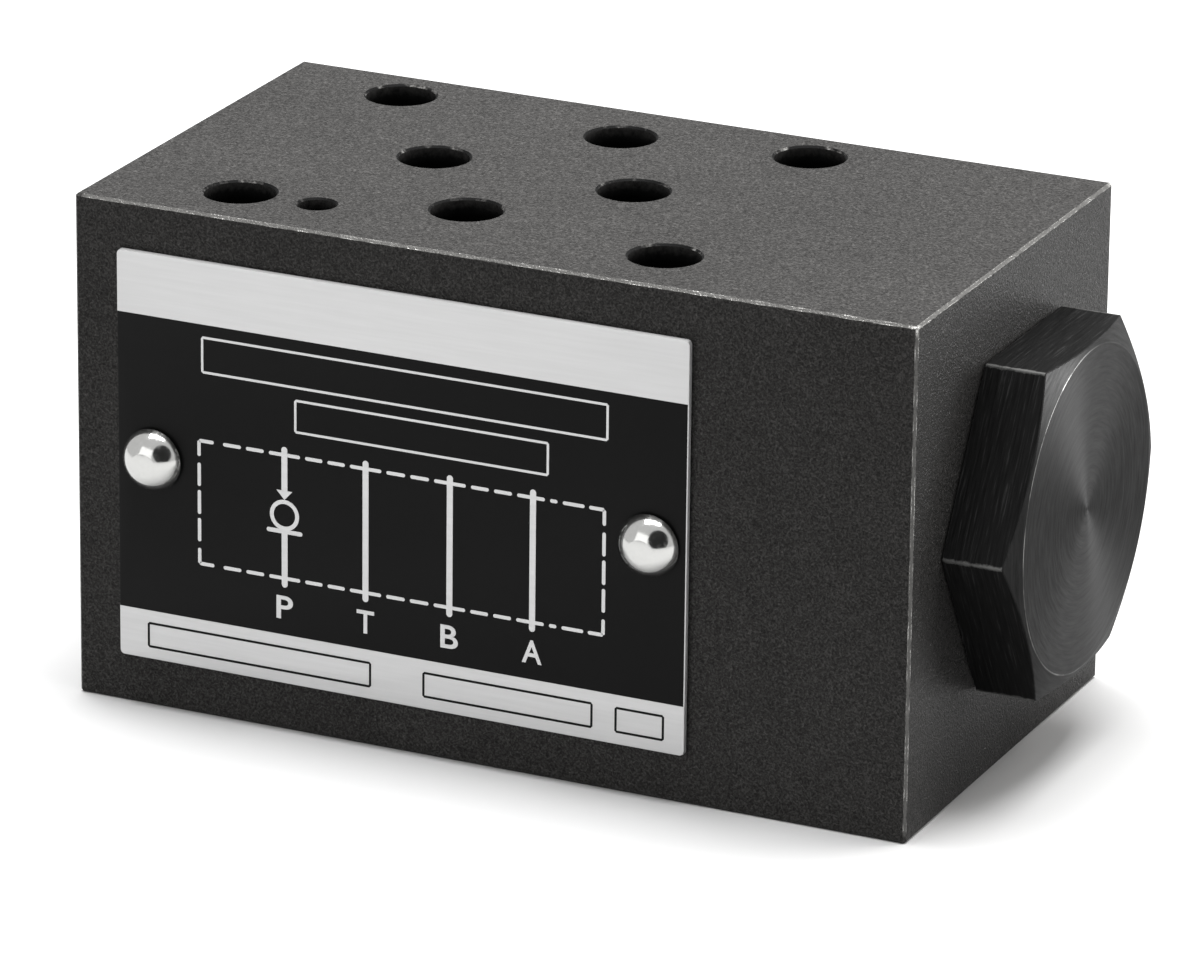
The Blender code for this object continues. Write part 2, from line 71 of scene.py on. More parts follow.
MM = 0.001
MERGE = 0.000001
PAST = 1.0 * MM
BODY = "valve"
POPPET = "poppet"
DRILL_TIP = math.radians(31)
WHITE = (1.0, 1.0, 1.0)
ALONG_X = Matrix.Rotation(math.pi / 2, 4, "Y")
OUT_OF_FRONT = Matrix.Rotation(math.pi / 2, 4, "X")

BLOCK_LOW, BLOCK_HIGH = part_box("valve_body")
PLUG_LOW, PLUG_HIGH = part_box("hex_plug")
PLATE_LOW, PLATE_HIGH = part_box("name_plate")
SEAT_LOW, SEAT_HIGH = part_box("valve_seat")
SLEEVE_LOW, SLEEVE_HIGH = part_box("guide_sleeve")
POPPET_LOW, POPPET_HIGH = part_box("check_poppet")
SPRING_LOW, SPRING_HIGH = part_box("check_spring")
HEIGHT = BLOCK_HIGH.z
RIGHT_X = BLOCK_HIGH.x
AXIS_Y = (PLUG_LOW.y + PLUG_HIGH.y) / 2
AXIS_Z = (PLUG_LOW.z + PLUG_HIGH.z) / 2


def opening_axis(name):
    """Where the axis of a stated opening of the block crosses the bottom face."""
    for opening in frame["record"]["physics"]["openings"]:
        if opening["name"] == name:
            low, high = opening["box_m"]
            return Vector(((low[0] + high[0]) / 2, (low[1] + high[1]) / 2, 0.0))
    raise RuntimeError(f"the record has no opening {name}")


BOLT_HOLES = [opening_axis(f"bolt_hole_{number}") for number in (1, 2, 3, 4)]
THROUGH_PORTS = [opening_axis(f"port_{letter}") for letter in "tab"]
PORT_P = opening_axis("port_p_bottom")


# Colours and shader nodes


def linear(hex_colour):
    """An sRGB hex colour as linear red, green and blue."""
    digits = hex_colour.lstrip("#")
    channels = [int(digits[i : i + 2], 16) / 255 for i in (0, 2, 4)]
    return [c / 12.92 if c <= 0.04045 else ((c + 0.055) / 1.055) ** 2.4 for c in channels]


def per(size_mm):
    """Scale of a texture whose features are this many millimetres apart."""
    return 1.0 / (size_mm * MM)


def opaque(colour):
    return (*colour, 1.0)


def shades(colour, *steps):
    """A ramp's stops in darker and lighter shades of a colour, from (place, factor) pairs."""
    return [(place, [min(channel * factor, 1.0) for channel in colour]) for place, factor in steps]


def set_inputs(node, inputs):
    """Sets inputs of a node, each to a value or to another node's output."""
    for key, value in inputs.items():
        if isinstance(value, bpy.types.NodeSocket):
            node.id_data.links.new(value, node.inputs[key])
        else:
            node.inputs[key].default_value = value


def add_node(tree, kind, inputs=None, out=0, stops=None, **settings):
    """Adds a shader node with its settings and inputs, and returns the output asked for.

    A ramp's stops are (place, linear colour) pairs. With out=None it returns the node itself.
    """
    new = tree.nodes.new(f"ShaderNode{kind}")
    for name, value in settings.items():
        setattr(new, name, value)
    if stops:
        elements = new.color_ramp.elements
        while len(elements) < len(stops):
            elements.new(1.0)
        for element, (place, colour) in zip(elements, stops):
            element.position = place
            element.color = opaque(colour)
    set_inputs(new, inputs or {})
    return new if out is None else new.outputs[out]


def new_material(name, **constants):
    """A material, the function that adds its nodes, and its shader, with constant inputs set by name."""
    material = bpy.data.materials.new(name)
    material.use_nodes = True
    surface = material.node_tree.nodes["Principled BSDF"]
    for key, value in constants.items():
        surface.inputs[key.replace("_", " ")].default_value = value
    return material, partial(add_node, material.node_tree), surface


# Mesh work, done as by hand


def deselect():
    bpy.ops.object.select_all(action="DESELECT")


def only(piece):
    """Selects one object and makes it active."""
    deselect()
    piece.select_set(True)
    bpy.context.view_layer.objects.active = piece


def added(name):
    """Names the primitive just added, and puts its place and size into its mesh."""
    piece = bpy.context.object
    piece.name = piece.data.name = name
    bpy.ops.object.transform_apply(location=True, rotation=True, scale=True)
    return piece


def edit_where(piece, kind, test=lambda part: True):
    """Opens a piece in edit mode with only the edges or faces that pass a test selected."""
    only(piece)
    bpy.ops.object.mode_set(mode="EDIT")
    bpy.ops.mesh.select_mode(type=kind)
    bpy.ops.mesh.select_all(action="DESELECT")
    bpy.ops.object.mode_set(mode="OBJECT")
    for part in piece.data.edges if kind == "EDGE" else piece.data.polygons:
        part.select = test(part)
    bpy.ops.object.mode_set(mode="EDIT")


def leave_edit():
    bpy.ops.object.mode_set(mode="OBJECT")


def close_shell():
    """Merges doubles, turns every face of the open piece outwards, and leaves edit mode."""
    bpy.ops.mesh.select_all(action="SELECT")
    bpy.ops.mesh.remove_doubles(threshold=MERGE)
    bpy.ops.mesh.normals_make_consistent(inside=False)
    leave_edit()


def edge_run(piece, edge):
    first, second = (piece.data.vertices[i].co for i in edge.vertices)
    return second - first


def lathe(name, outline, segments, closed=False):
    """A turned piece about Z: one circle, extruded and scaled to each (height, radius) of the outline.

    A closed outline makes a ring. Any other starts with a flat face, and ends with one, or with a point
    where its last radius is 0.
    """
    deselect()
    height, radius = outline[0]
    fill = "NOTHING" if closed else "NGON"
    bpy.ops.mesh.primitive_circle_add(
        vertices=segments, radius=radius, location=(0.0, 0.0, height), fill_type=fill
    )
    piece = added(name)
    bpy.ops.object.mode_set(mode="EDIT")
    bpy.ops.mesh.select_mode(type="EDGE" if closed else "FACE")
    bpy.ops.mesh.select_all(action="SELECT")
    for next_height, next_radius in outline[1:] + (outline[:1] if closed else []):
        rise = (0.0, 0.0, next_height - height)
        bpy.ops.mesh.extrude_region_move(TRANSFORM_OT_translate={"value": rise})
        height = next_height
        if next_radius == 0.0:
            bpy.ops.mesh.merge(type="CENTER")
            break
        growth = next_radius / radius
        radius = next_radius
        bpy.ops.transform.resize(value=(growth, growth, 1.0), center_override=(0.0, 0.0, height))
    close_shell()
    return piece


def put(piece, place):
    """Moves a mesh to its place, so that its object stays at the origin."""
    piece.data.transform(place)
    piece.data.update()
    return piece


def twin(piece, name, place):
    """A copy of a piece, with its own mesh, at another place."""
    other = piece.copy()
    other.data = piece.data.copy()
    other.name = other.data.name = name
    bpy.context.scene.collection.objects.link(other)
    return put(other, place)


def on_axis(x):
    """Place of a turned piece laid along the cavity's axis with its height 0 at x."""
    return Matrix.Translation((x, AXIS_Y, AXIS_Z)) @ ALONG_X


def screw_place(side, y):
    """Place of a turned piece that stands out of the front at a drive screw, with its height 0 at y."""
    low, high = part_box(f"drive_screw_{side}")
    return Matrix.Translation(((low.x + high.x) / 2, y, (low.z + high.z) / 2)) @ OUT_OF_FRONT


def apply_modifiers(piece):
    only(piece)
    for modifier in list(piece.modifiers):
        bpy.ops.object.modifier_apply(modifier=modifier.name)


def cut(piece, tool, operation="DIFFERENCE"):
    """Cuts a piece with a tool, takes the tool away, and merges the slivers that the cut leaves."""
    boolean = piece.modifiers.new("cut", "BOOLEAN")
    boolean.operation = operation
    boolean.solver = "EXACT"
    boolean.object = tool
    apply_modifiers(piece)
    bpy.data.objects.remove(tool, do_unlink=True)
    edit_where(piece, "FACE")
    bpy.ops.mesh.remove_doubles(threshold=MERGE)
    bpy.ops.mesh.dissolve_degenerate(threshold=MERGE)
    leave_edit()


def break_edges(piece, width, angle, segments):
    """Breaks every edge that turns by more than an angle."""
    edges = piece.modifiers.new("edges", "BEVEL")
    edges.width = width
    edges.segments = segments
    edges.limit_method = "ANGLE"
    edges.angle_limit = math.radians(angle)
    apply_modifiers(piece)


def smooth(piece, angle=30.0):
    only(piece)
    bpy.ops.object.shade_smooth_by_angle(angle=math.radians(angle))


def paint(piece, materials, choose=lambda face: 0):
    """Gives a piece its materials, one to each face by the number that choose(face) returns."""
    piece.data.materials.clear()
    for material in materials:
        piece.data.materials.append(material)
    for face in piece.data.polygons:
        face.material_index = choose(face)


def join(name, pieces):
    """Joins pieces into one object."""
    deselect()
    for piece in pieces:
        piece.select_set(True)
    bpy.context.view_layer.objects.active = pieces[0]
    bpy.ops.object.join()
    joined = bpy.context.object
    joined.name = joined.data.name = name
    return joined


def seated(piece, slot, *nodes, body=BODY):
    """Makes a piece ride on its body and stands it in for CAD nodes. Its slot is not used."""
    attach(piece, body)
    if nodes:
        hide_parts(*nodes)


# Materials


def distance_from(add, value, middle):
    """How far a value is from a middle one, on either side."""
    off = add("Math", {0: value, 1: middle}, operation="SUBTRACT")
    return add("Math", {0: off}, operation="ABSOLUTE")


def phosphated_iron(sizes):
    """Cast iron, ground and then phosphated: dull charcoal, mottled by fine curled strokes, with bare metal
    where handling has rubbed both sides of the broken edges."""
    material, add, surface = new_material("phosphated_cast_iron", Specular_IOR_Level=0.04)
    place = add("TexCoord", out="Object")

    # Phosphate crystals are 0.02 mm across, too fine to show, so the strokes are drawn 0.1 mm wide and about
    # 0.5 mm long: they follow the lines along which a noise passes its middle value
    strokes = []
    for seed, size in ((0.0, 0.5), (7.3, 0.42)):
        noise = {"Vector": place, "W": seed, "Scale": per(size), "Detail": 0.6, "Distortion": 0.5}
        curl = add("TexNoise", noise, noise_dimensions="4D")
        apart = distance_from(add, curl, 0.5)
        strokes.append(add("MapRange", {"Value": apart, 1: 0.01, 2: 0.07, 3: 0.24, 4: 0.0}))
    light, dark = strokes
    stroke = add("Math", {0: light, 1: dark}, operation="SUBTRACT")
    fine = add("TexNoise", {"Vector": place, "Scale": per(0.22), "Detail": 1.0, "Roughness": 0.7})
    grain = add("Math", {0: stroke, 1: fine}, operation="ADD")
    cloud = add("TexNoise", {"Vector": place, "Scale": per(14.0), "Detail": 3.0, "Roughness": 0.6})
    stops = shades(sizes.iron_colour, (0.15, 0.45), (0.5, 1.0), (0.8, 1.75), (1.0, 3.0))
    mottle = add("ValToRGB", {"Fac": grain}, stops=stops)
    drift = add("ValToRGB", {"Fac": cloud}, stops=shades(WHITE, (0.3, 0.84), (0.7, 1.0)))
    mottled_mix = add("Mix", {0: 1.0, 6: mottle, 7: drift}, 2, data_type="RGBA", blend_type="MULTIPLY")

    # How far a point is from the second nearest plane of the block, which is 0 on a sharp edge, and from the
    # third, which is 0 at a corner
    axes = add("SeparateXYZ", {"Vector": place}, out=None).outputs
    gaps = []
    for output, low, high in zip(axes, BLOCK_LOW, BLOCK_HIGH):
        far = distance_from(add, output, (low + high) / 2)
        gaps.append(add("Math", {0: (high - low) / 2, 1: far}, operation="SUBTRACT"))
    near = add("Math", {0: gaps[0], 1: gaps[1]}, operation="MINIMUM")
    wide = add("Math", {0: gaps[0], 1: gaps[1]}, operation="MAXIMUM")
    from_corner = add("Math", {0: wide, 1: gaps[2]}, operation="MAXIMUM")
    wide = add("Math", {0: wide, 1: gaps[2]}, operation="MINIMUM")
    from_edge = add("Math", {0: near, 1: wide}, operation="MAXIMUM")

    # The rub wanders about both borders of the broken edge, comes and goes, and fills the corners
    edge = sizes.edge_break
    wander = add("TexNoise", {"Vector": place, "Scale": per(0.45), "Detail": 4.0, "Roughness": 0.8})
    shift = add("Math", {0: wander, 1: 0.2 * MM, 2: -0.1 * MM}, operation="MULTIPLY_ADD")
    rough = add("Math", {0: from_edge, 1: shift}, operation="ADD")
    off_line = distance_from(add, rough, edge)
    line = add("MapRange", {"Value": off_line, 1: 0.0, 2: 0.05 * MM, 3: 1.0, 4: 0.0})
    patch = add("TexNoise", {"Vector": place, "Scale": per(1.8), "Detail": 5.0, "Roughness": 0.75})
    patch = add("MapRange", {"Value": patch, 1: 0.42, 2: 0.6, 3: 0.12, 4: 0.95})
    line = add("Math", {0: line, 1: patch}, operation="MULTIPLY")
    band = add("MapRange", {"Value": rough, 1: edge - 0.05 * MM, 2: edge, 3: 1.0, 4: 0.0})
    corner = add("MapRange", {"Value": from_corner, 1: 0.4 * MM, 2: 1.0 * MM, 3: 0.95, 4: 0.26})
    band = add("Math", {0: band, 1: corner}, operation="MULTIPLY")
    rubbed = add("Math", {0: line, 1: band}, operation="MAXIMUM")
    # The rub fades out near the bottom face and near the left end
    for output, low in ((axes[0], BLOCK_LOW.x), (axes[2], BLOCK_LOW.z)):
        rub_fade = add("MapRange", {"Value": output, 1: low + 0.6 * MM, 2: low + 1.2 * MM, 3: 0.05, 4: 1.0})
        rubbed = add("Math", {0: rubbed, 1: rub_fade}, operation="MULTIPLY")
    finish = add("Mix", {0: rubbed, 6: mottled_mix, 7: opaque(sizes.worn_colour)}, 2, data_type="RGBA")
    matt = add("MapRange", {"Value": grain, 1: 0.2, 2: 0.8, 3: 0.42, 4: 0.24})
    relief = add("Bump", {"Strength": 0.8, "Distance": 0.05 * MM, "Height": grain})
    looks = {"Base Color": finish, "Metallic": rubbed, "Roughness": matt, "Normal": relief}
    set_inputs(surface, looks)
    return material


def rim_painted_shade_and_wear(sizes):
    """Oily iron rubbed bare here and there: the broken mouth of a hole, painted black as the hole's shade,
    with short grey patches of coat and bare iron.
    """
    material, add, surface = new_material("cast_iron_rim_painted_shade_and_wear", Specular_IOR_Level=0.1, Roughness=0.5)
    place = add("TexCoord", out="Object")
    wear = add("TexNoise", {"Vector": place, "Scale": per(1.6), "Detail": 3.0, "Roughness": 0.7})
    # The ramp starts in the bore's near black, which is painted shade, and rises to the coat's grey and to
    # bare iron where the rim is rubbed
    stops = ((0.52, sizes.bore_shade_colour), (0.6, sizes.iron_colour), (0.8, sizes.worn_colour))
    tint = add("ValToRGB", {"Fac": wear}, stops=stops)
    bare = add("MapRange", {"Value": wear, 1: 0.58, 2: 0.8, 3: 0.0, 4: 0.8})
    set_inputs(surface, {"Base Color": tint, "Metallic": bare})
    return material


def bore_painted_light_and_shade(sizes):
    """Drilled iron, wet with oil: painted near black as the shade inside the hole, and speckled grey by the
    mouth as painted light, where light reaches into it.
    """
    material, add, surface = new_material("iron_bore_painted_light_and_shade", Specular_IOR_Level=0.1, Roughness=0.35)
    place = add("TexCoord", out="Object")
    speckle = add("TexNoise", {"Vector": place, "Scale": per(0.5), "Detail": 4.0, "Roughness": 0.75})
    height = add("SeparateXYZ", {"Vector": place}, "Z")
    middle = HEIGHT / 2
    off_middle = distance_from(add, height, middle)
    # Painted light: the grey speckles show only within 1.6 mm of each mouth
    mouth_painted_light = add("MapRange", {"Value": off_middle, 1: middle - 1.6 * MM, 2: middle, 3: 0.0, 4: 0.55})
    mottled_mix = add("Math", {0: speckle, 1: mouth_painted_light}, operation="MULTIPLY")
    # Near black for the painted shade down the hole, rising to the iron's colour for the painted light at
    # the mouth
    stops = shades(sizes.bore_shade_colour, (0.0, 1.0), (0.1, 4.0)) + [(0.3, sizes.iron_colour)]
    tint = add("ValToRGB", {"Fac": mottled_mix}, stops=stops)
    set_inputs(surface, {"Base Color": tint})
    return material


def from_plug_axis(add, place):
    """A point's place from the plug's axis at the block's right end, and its distance from that axis."""
    middle = (RIGHT_X, AXIS_Y, AXIS_Z)
    local = add("VectorMath", {0: place, 1: middle}, operation="SUBTRACT")
    flat = add("VectorMath", {0: local, 1: (0.0, 1.0, 1.0)}, operation="MULTIPLY")
    radius = add("VectorMath", {0: flat}, "Value", operation="LENGTH")
    return local, flat, radius


def turned_black_steel(sizes):
    """Steel faced on a lathe and then blacked: fine rings, whose soft gloss fans out from the middle, and a
    thin bright line where the face meets its chamfer, rubbed bare on the front side, where it is also a
    painted highlight."""
    constants = {"Anisotropic": 0.8, "Specular_IOR_Level": 0.04}
    material, add, surface = new_material("turned_black_oxide_steel", **constants)
    place = add("TexCoord", out="Object")
    local, flat, radius = from_plug_axis(add, place)
    # The tool's feed is 0.08 mm a turn, too fine to show, so the rings are drawn about 0.3 mm apart. A
    # little of the noise's own width lets each ring fade along its way
    split = add("SeparateXYZ", {"Vector": local}, out=None).outputs
    ringed = add("VectorMath", {0: flat, "Scale": 0.09}, operation="SCALE")
    ringed = add("SeparateXYZ", {"Vector": ringed}, out=None).outputs
    ringed = add("CombineXYZ", {0: radius, 1: ringed[1], 2: ringed[2]})
    rings = add("TexNoise", {"Vector": ringed, "Scale": per(0.3), "Detail": 3.0, "Roughness": 0.7})
    blotch = add("TexNoise", {"Vector": place, "Scale": per(5.0), "Detail": 4.0, "Roughness": 0.65})
    stops = shades(sizes.black_colour, (0.3, 0.65), (0.72, 1.6))
    tint = add("ValToRGB", {"Fac": rings}, stops=stops)
    patchy = add("ValToRGB", {"Fac": blotch}, stops=shades(WHITE, (0.3, 0.8), (0.7, 1.0)))
    toned = add("Mix", {0: 1.0, 6: tint, 7: patchy}, 2, data_type="RGBA", blend_type="MULTIPLY")
    off_border = distance_from(add, radius, sizes.face_radius)
    border = add("MapRange", {"Value": off_border, 1: 0.01 * MM, 2: 0.09 * MM, 3: 1.0, 4: 0.0})
    wear = add("MapRange", {"Value": blotch, 1: 0.4, 2: 0.6, 3: 0.15, 4: 0.7})
    rubbed = add("Math", {0: border, 1: wear}, operation="MULTIPLY")
    # The border's bare rub is limited to the front side, where the highlight falls on it: part wear, part
    # painted highlight
    front = add("MapRange", {"Value": split[1], 1: -6.0 * MM, 2: 2.0 * MM, 3: 1.0, 4: 0.12})
    rubbed = add("Math", {0: rubbed, 1: front}, operation="MULTIPLY")
    finish = add("Mix", {0: rubbed, 6: toned, 7: opaque(sizes.rubbed_colour)}, 2, data_type="RGBA")
    gloss = add("MapRange", {"Value": rings, 1: 0.3, 2: 0.7, 3: 0.5, 4: 0.4})
    relief = add("Bump", {"Strength": 0.3, "Distance": 0.015 * MM, "Height": rings})
    # Gloss spreads across the rings, so away from the axis
    outward = add("VectorMath", {0: flat}, operation="NORMALIZE")
    looks = {"Base Color": finish, "Metallic": rubbed, "Roughness": gloss, "Normal": relief}
    set_inputs(surface, looks | {"Tangent": outward})
    return material


def drawn_black_steel(sizes):
    """Flats of the hexagon bar, blacked: fine scratches across the bar, and corners rubbed bright."""
    constants = {"Specular_IOR_Level": 0.06, "Roughness": 0.5}
    material, add, surface = new_material("drawn_black_oxide_steel", **constants)
    place = add("TexCoord", out="Object")
    facing = add("TexCoord", out="Normal")
    local, flat, radius = from_plug_axis(add, place)
    up_flat = add("VectorMath", {0: facing, 1: (1.0, 0.0, 0.0)}, operation="CROSS_PRODUCT")
    along = add("VectorMath", {0: local, 1: up_flat}, "Value", operation="DOT_PRODUCT")
    split = add("SeparateXYZ", {"Vector": local})
    stretched = add("Math", {0: along, 1: 0.045}, operation="MULTIPLY")
    brushed = add("CombineXYZ", {0: split, 1: stretched})
    scratches = add("TexNoise", {"Vector": brushed, "Scale": per(0.22), "Detail": 3.0, "Roughness": 0.7})
    stops = shades(sizes.flat_colour, (0.35, 0.45), (0.58, 1.1), (0.76, 4.5))
    tint = add("ValToRGB", {"Fac": scratches}, stops=stops)
    wander = add("TexNoise", {"Vector": place, "Scale": per(0.8), "Detail": 4.0, "Roughness": 0.7})
    shift = add("Math", {0: wander, 1: 0.3 * MM, 2: -0.16 * MM}, operation="MULTIPLY_ADD")
    reach = add("Math", {0: radius, 1: shift}, operation="ADD")
    edge = sizes.across_flats / math.sqrt(3)
    rubbed = add("MapRange", {"Value": reach, 1: edge - 0.15 * MM, 2: edge - 0.05 * MM, 3: 0.0, 4: 0.35})
    finish = add("Mix", {0: rubbed, 6: tint, 7: opaque(sizes.rubbed_colour)}, 2, data_type="RGBA")
    relief = add("Bump", {"Strength": 0.4, "Distance": 0.02 * MM, "Height": scratches})
    set_inputs(surface, {"Base Color": finish, "Metallic": rubbed, "Normal": relief})
    return material


def one_pattern(name, noise, stops, gloss=None, stretch=None, dents=None, **constants):
    """A material whose tint follows one noise, and so may its gloss and its dents.

    Gloss is the noise and then the roughness, each at its start and its end. Stretch scales the noise along
    each axis.
    """
    material, add, surface = new_material(name, **constants)
    place = add("TexCoord", out="Object")
    if stretch:
        place = add("Mapping", {"Vector": place, "Scale": stretch})
    pattern = add("TexNoise", {"Vector": place} | noise)
    looks = {"Base Color": add("ValToRGB", {"Fac": pattern}, stops=stops)}
    if gloss:
        looks["Roughness"] = add("MapRange", {"Value": pattern} | dict(enumerate(gloss, 1)))
    if dents:
        looks["Normal"] = add("Bump", {"Height": pattern} | dents)
    set_inputs(surface, looks)
    return material


def satin_aluminium(sizes):
    """Sheet aluminium with a satin rolled skin: even pale grey with the faintest grain along the sheet."""
    noise = {"Scale": per(0.3), "Detail": 2.0}
    stops = shades(sizes.aluminium_colour, (0.3, 0.985), (0.7, 1.01))
    gloss = (0.3, 0.7, 0.62, 0.58)
    return one_pattern("satin_aluminium", noise, stops, gloss, (0.04, 1.0, 1.0), Metallic=1.0)


def black_lacquer(sizes):
    """Baked lacquer in the etched field: even near-black with a soft sheen."""
    noise = {"Scale": per(9.0), "Detail": 4.0, "Roughness": 0.65}
    stops = shades(sizes.lacquer_colour, (0.3, 0.9), (0.7, 1.1))
    constants = {"Specular_IOR_Level": 0.09, "Roughness": 0.42}
    return one_pattern("black_baked_lacquer", noise, stops, **constants)


def bright_nickel(sizes):
    """Nickel plated steel, barrel finished: mirror-bright with faint hazy dents from tumbling."""
    noise = {"Scale": per(0.35), "Detail": 3.0, "Roughness": 0.7}
    stops = shades(sizes.nickel_colour, (0.3, 0.94), (0.7, 1.0))
    gloss = (0.5, 0.7, 0.12, 0.26)
    dents = {"Strength": 0.25, "Distance": 0.004 * MM}
    return one_pattern("bright_nickel_plate", noise, stops, gloss, dents=dents, Metallic=1.0)


def ground_steel(sizes):
    """Hardened steel, ground round: bright grey with fine rings along the cartridge's axis."""
    noise = {"Scale": per(0.12), "Detail": 2.0}
    stops = shades(sizes.steel_colour, (0.3, 0.85), (0.7, 1.1))
    gloss = (0.3, 0.7, 0.32, 0.22)
    return one_pattern("ground_hardened_steel", noise, stops, gloss, (1.0, 0.03, 0.03), Metallic=1.0)


def wound_wire(sizes):
    """Patented spring wire, drawn and oiled: dark grey metal, smoother where it is paler."""
    noise = {"Scale": per(0.6), "Detail": 3.0, "Roughness": 0.6}
    stops = shades(sizes.wire_colour, (0.3, 0.8), (0.7, 1.15))
    return one_pattern("drawn_spring_wire", noise, stops, (0.3, 0.7, 0.4, 0.3), Metallic=1.0)


def moulded_nitrile(sizes):
    """Moulded nitrile rubber: matt black, dusted a little paler in patches by its release powder."""
    noise = {"Scale": per(1.6), "Detail": 5.0, "Roughness": 0.7}
    stops = shades(sizes.rubber_colour, (0.4, 1.0), (0.75, 2.2))
    gloss = (0.4, 0.7, 0.5, 0.68)
    return one_pattern("moulded_nitrile", noise, stops, gloss, Specular_IOR_Level=0.35)


# Sizes and colours that a user would change


def length(name, description, millimetres):
    return FloatProperty(
        name=name, description=description, default=millimetres * MM, min=0.0, precision=5,
        subtype="DISTANCE", unit="LENGTH"
    )


def angle(name, description, degrees):
    return FloatProperty(
        name=name, description=description, default=math.radians(degrees), subtype="ANGLE", unit="ROTATION"
    )


def tone(name, description, hex_colour):
    return FloatVectorProperty(
        name=name, description=description, default=linear(hex_colour), min=0.0, max=1.0, size=3,
        subtype="COLOR"
    )


class BlockSettings(bpy.types.PropertyGroup):
    """Sizes and colours of the drilled block."""

    edge_break: length("Edge break", "Width of the broken outer edges", 0.22)
    mouth_break: length("Mouth break", "Width of the broken mouths of the holes", 0.18)
    bolt_hole_radius: length("Bolt hole radius", "Radius of the four bolt holes", 3.2)
    port_radius: length("Port radius", "Radius of the ports", 3.2)
    recess_radius: length("Recess radius", "Radius of a port seal's recess", 6.2)
    recess_depth: length("Recess depth", "Depth of a port seal's recess", 1.4)
    pin_hole_radius: length("Pin hole radius", "Radius of the locating pin's hole", 1.7)
    pin_hole_depth: length("Pin hole depth", "Depth of the locating pin's hole", 5.0)
    iron_colour: tone("Iron", "Phosphated iron", "#41403f")
    worn_colour: tone("Worn iron", "Bare iron at the edges", "#bebdba")
    # The bore's colour is painted shade: it draws the holes' walls and mouths near black
    bore_shade_colour: tone("Bore", "Oiled bore walls", "#060606")


class PlugSettings(bpy.types.PropertyGroup):
    """Sizes and colours of the hexagon plug."""

    across_flats: length("Across flats", "Width over the hexagon's flats", 30.0)
    face_radius: length("Face radius", "Radius of the turned face", 14.6)
    shank_radius: length("Shank radius", "Radius of the screwed shank", 11.7)
    groove_radius: length("Groove radius", "Radius of the seal's groove", 10.7)
    socket_radius: length("Socket radius", "Radius of the sleeve's socket", 8.0)
    corner_break: length("Corner break", "Width of the broken corners", 0.08)
    chamfer: angle("Chamfer", "Angle of the chamfer round the face", 17)
    black_colour: tone("Turned black", "Blacked and turned steel", "#2c2c2c")
    flat_colour: tone("Flat black", "Blacked flats of the bar", "#1a1a1a")
    rubbed_colour: tone("Rubbed steel", "Steel rubbed bright at corners", "#a8a8a6")


class PlateSettings(bpy.types.PropertyGroup):
    """Sizes and colours of the name plate and its legends."""

    field_top: length("Field top", "Height of the top of the black field", 36.9)
    field_bottom: length("Field bottom", "Height of the bottom of the black field", 9.3)
    etch_depth: length("Etch depth", "Depth of the black field", 0.04)
    corner_radius: length("Corner radius", "Radius of the plate's corners", 0.45)
    rim: length("Rim", "Width of the sheared edge's bright rounding", 0.12)
    box_left: length("Symbol left", "Left side of the dashed box", -20.47)
    box_right: length("Symbol right", "Right side of the dashed box", 18.7)
    box_top: length("Symbol top", "Top of the dashed box", 26.1)
    box_bottom: length("Symbol bottom", "Bottom of the dashed box", 14.6)
    line_width: length("Line width", "Width of the flow lines", 0.58)
    dash_width: length("Dash width", "Width of the dashed box's line", 0.33)
    dash: length("Dash", "Length of a plain dash", 1.75)
    gap: length("Gap", "Gap between dashes", 0.5)
    ball_radius: length("Ball radius", "Outer radius of the ball's ring", 1.43)
    letter_height: length("Letter height", "Height of the port letters", 2.15)
    aluminium_colour: tone("Aluminium", "Bare sheet", "#cccccc")
    lacquer_colour: tone("Lacquer", "Black field", "#131313")


class FittingSettings(bpy.types.PropertyGroup):
    """Sizes and colours of the screws, the seals and the check cartridge."""

    screw_head_radius: length("Screw head radius", "Radius of a drive screw's head", 2.85)
    screw_head_height: length("Screw head height", "Height of a drive screw's head", 1.8)
    crown_radius: length("Crown radius", "Radius of the flat on a drive screw's head", 1.05)
    screw_shank_radius: length("Screw shank radius", "Radius of a drive screw's shank", 1.1)
    wire_radius: length("Wire radius", "Radius of the spring's wire", 0.45)
    spring_turns: IntProperty(name="Spring turns", description="Turns of the spring", default=8, min=3)
    nickel_colour: tone("Nickel", "Drive screws", "#cacac8")
    steel_colour: tone("Steel", "Seat, sleeve and poppet", "#a4a4a5")
    wire_colour: tone("Wire", "Spring wire", "#77777a")
    rubber_colour: tone("Rubber", "Seals", "#0f0f0f")


class StageSettings(bpy.types.PropertyGroup):
    """The camera and the light."""

    lens: FloatProperty(
        name="Lens", description="Focal length for a 36 mm sensor", default=246.24, unit="CAMERA"
    )
    azimuth: angle("Azimuth", "Turn of the camera to the right of the front", 24.774)
    elevation: angle("Elevation", "Height of the camera's view, as an angle", 20.064)
    roll: angle("Roll", "Turn of the camera about its view", 0.657)
    distance: length("Distance", "Camera's distance from its target", 703.6)
    target: FloatVectorProperty(
        name="Target", description="Point in the middle of the picture",
        default=(0.017888, -0.0231, 0.028493), size=3, subtype="TRANSLATION", unit="LENGTH"
    )
    ambient: FloatProperty(name="Ambient", description="Strength of the even light", default=0.35, min=0.0)
    floor_colour: tone("Floor", "Pale floor", "#f0f0f0")
    floor_reflected: tone("Floor's reflection", "Floor as it is mirrored in the valve", "#e6e6e6")
    floor_bounce: tone("Floor's bounce", "Floor as the valve's sides are lit by it", "#8c8c8c")
    card_colour: tone("Card", "Dark card behind the camera", "#1c1c1c")


# Operators


def hole_outline(radius, mouth, depth=None):
    """Outline of a hole up from below the bottom face: right through, or blind to a drill tip."""
    opened = radius + mouth
    start = [(-PAST, opened), (0.0, opened), (mouth, radius)]
    if depth is None:
        return start + [(HEIGHT - mouth, radius), (HEIGHT, opened), (HEIGHT + PAST, opened)]
    return start + [(depth, radius), (depth + radius * math.tan(DRILL_TIP), 0.0)]


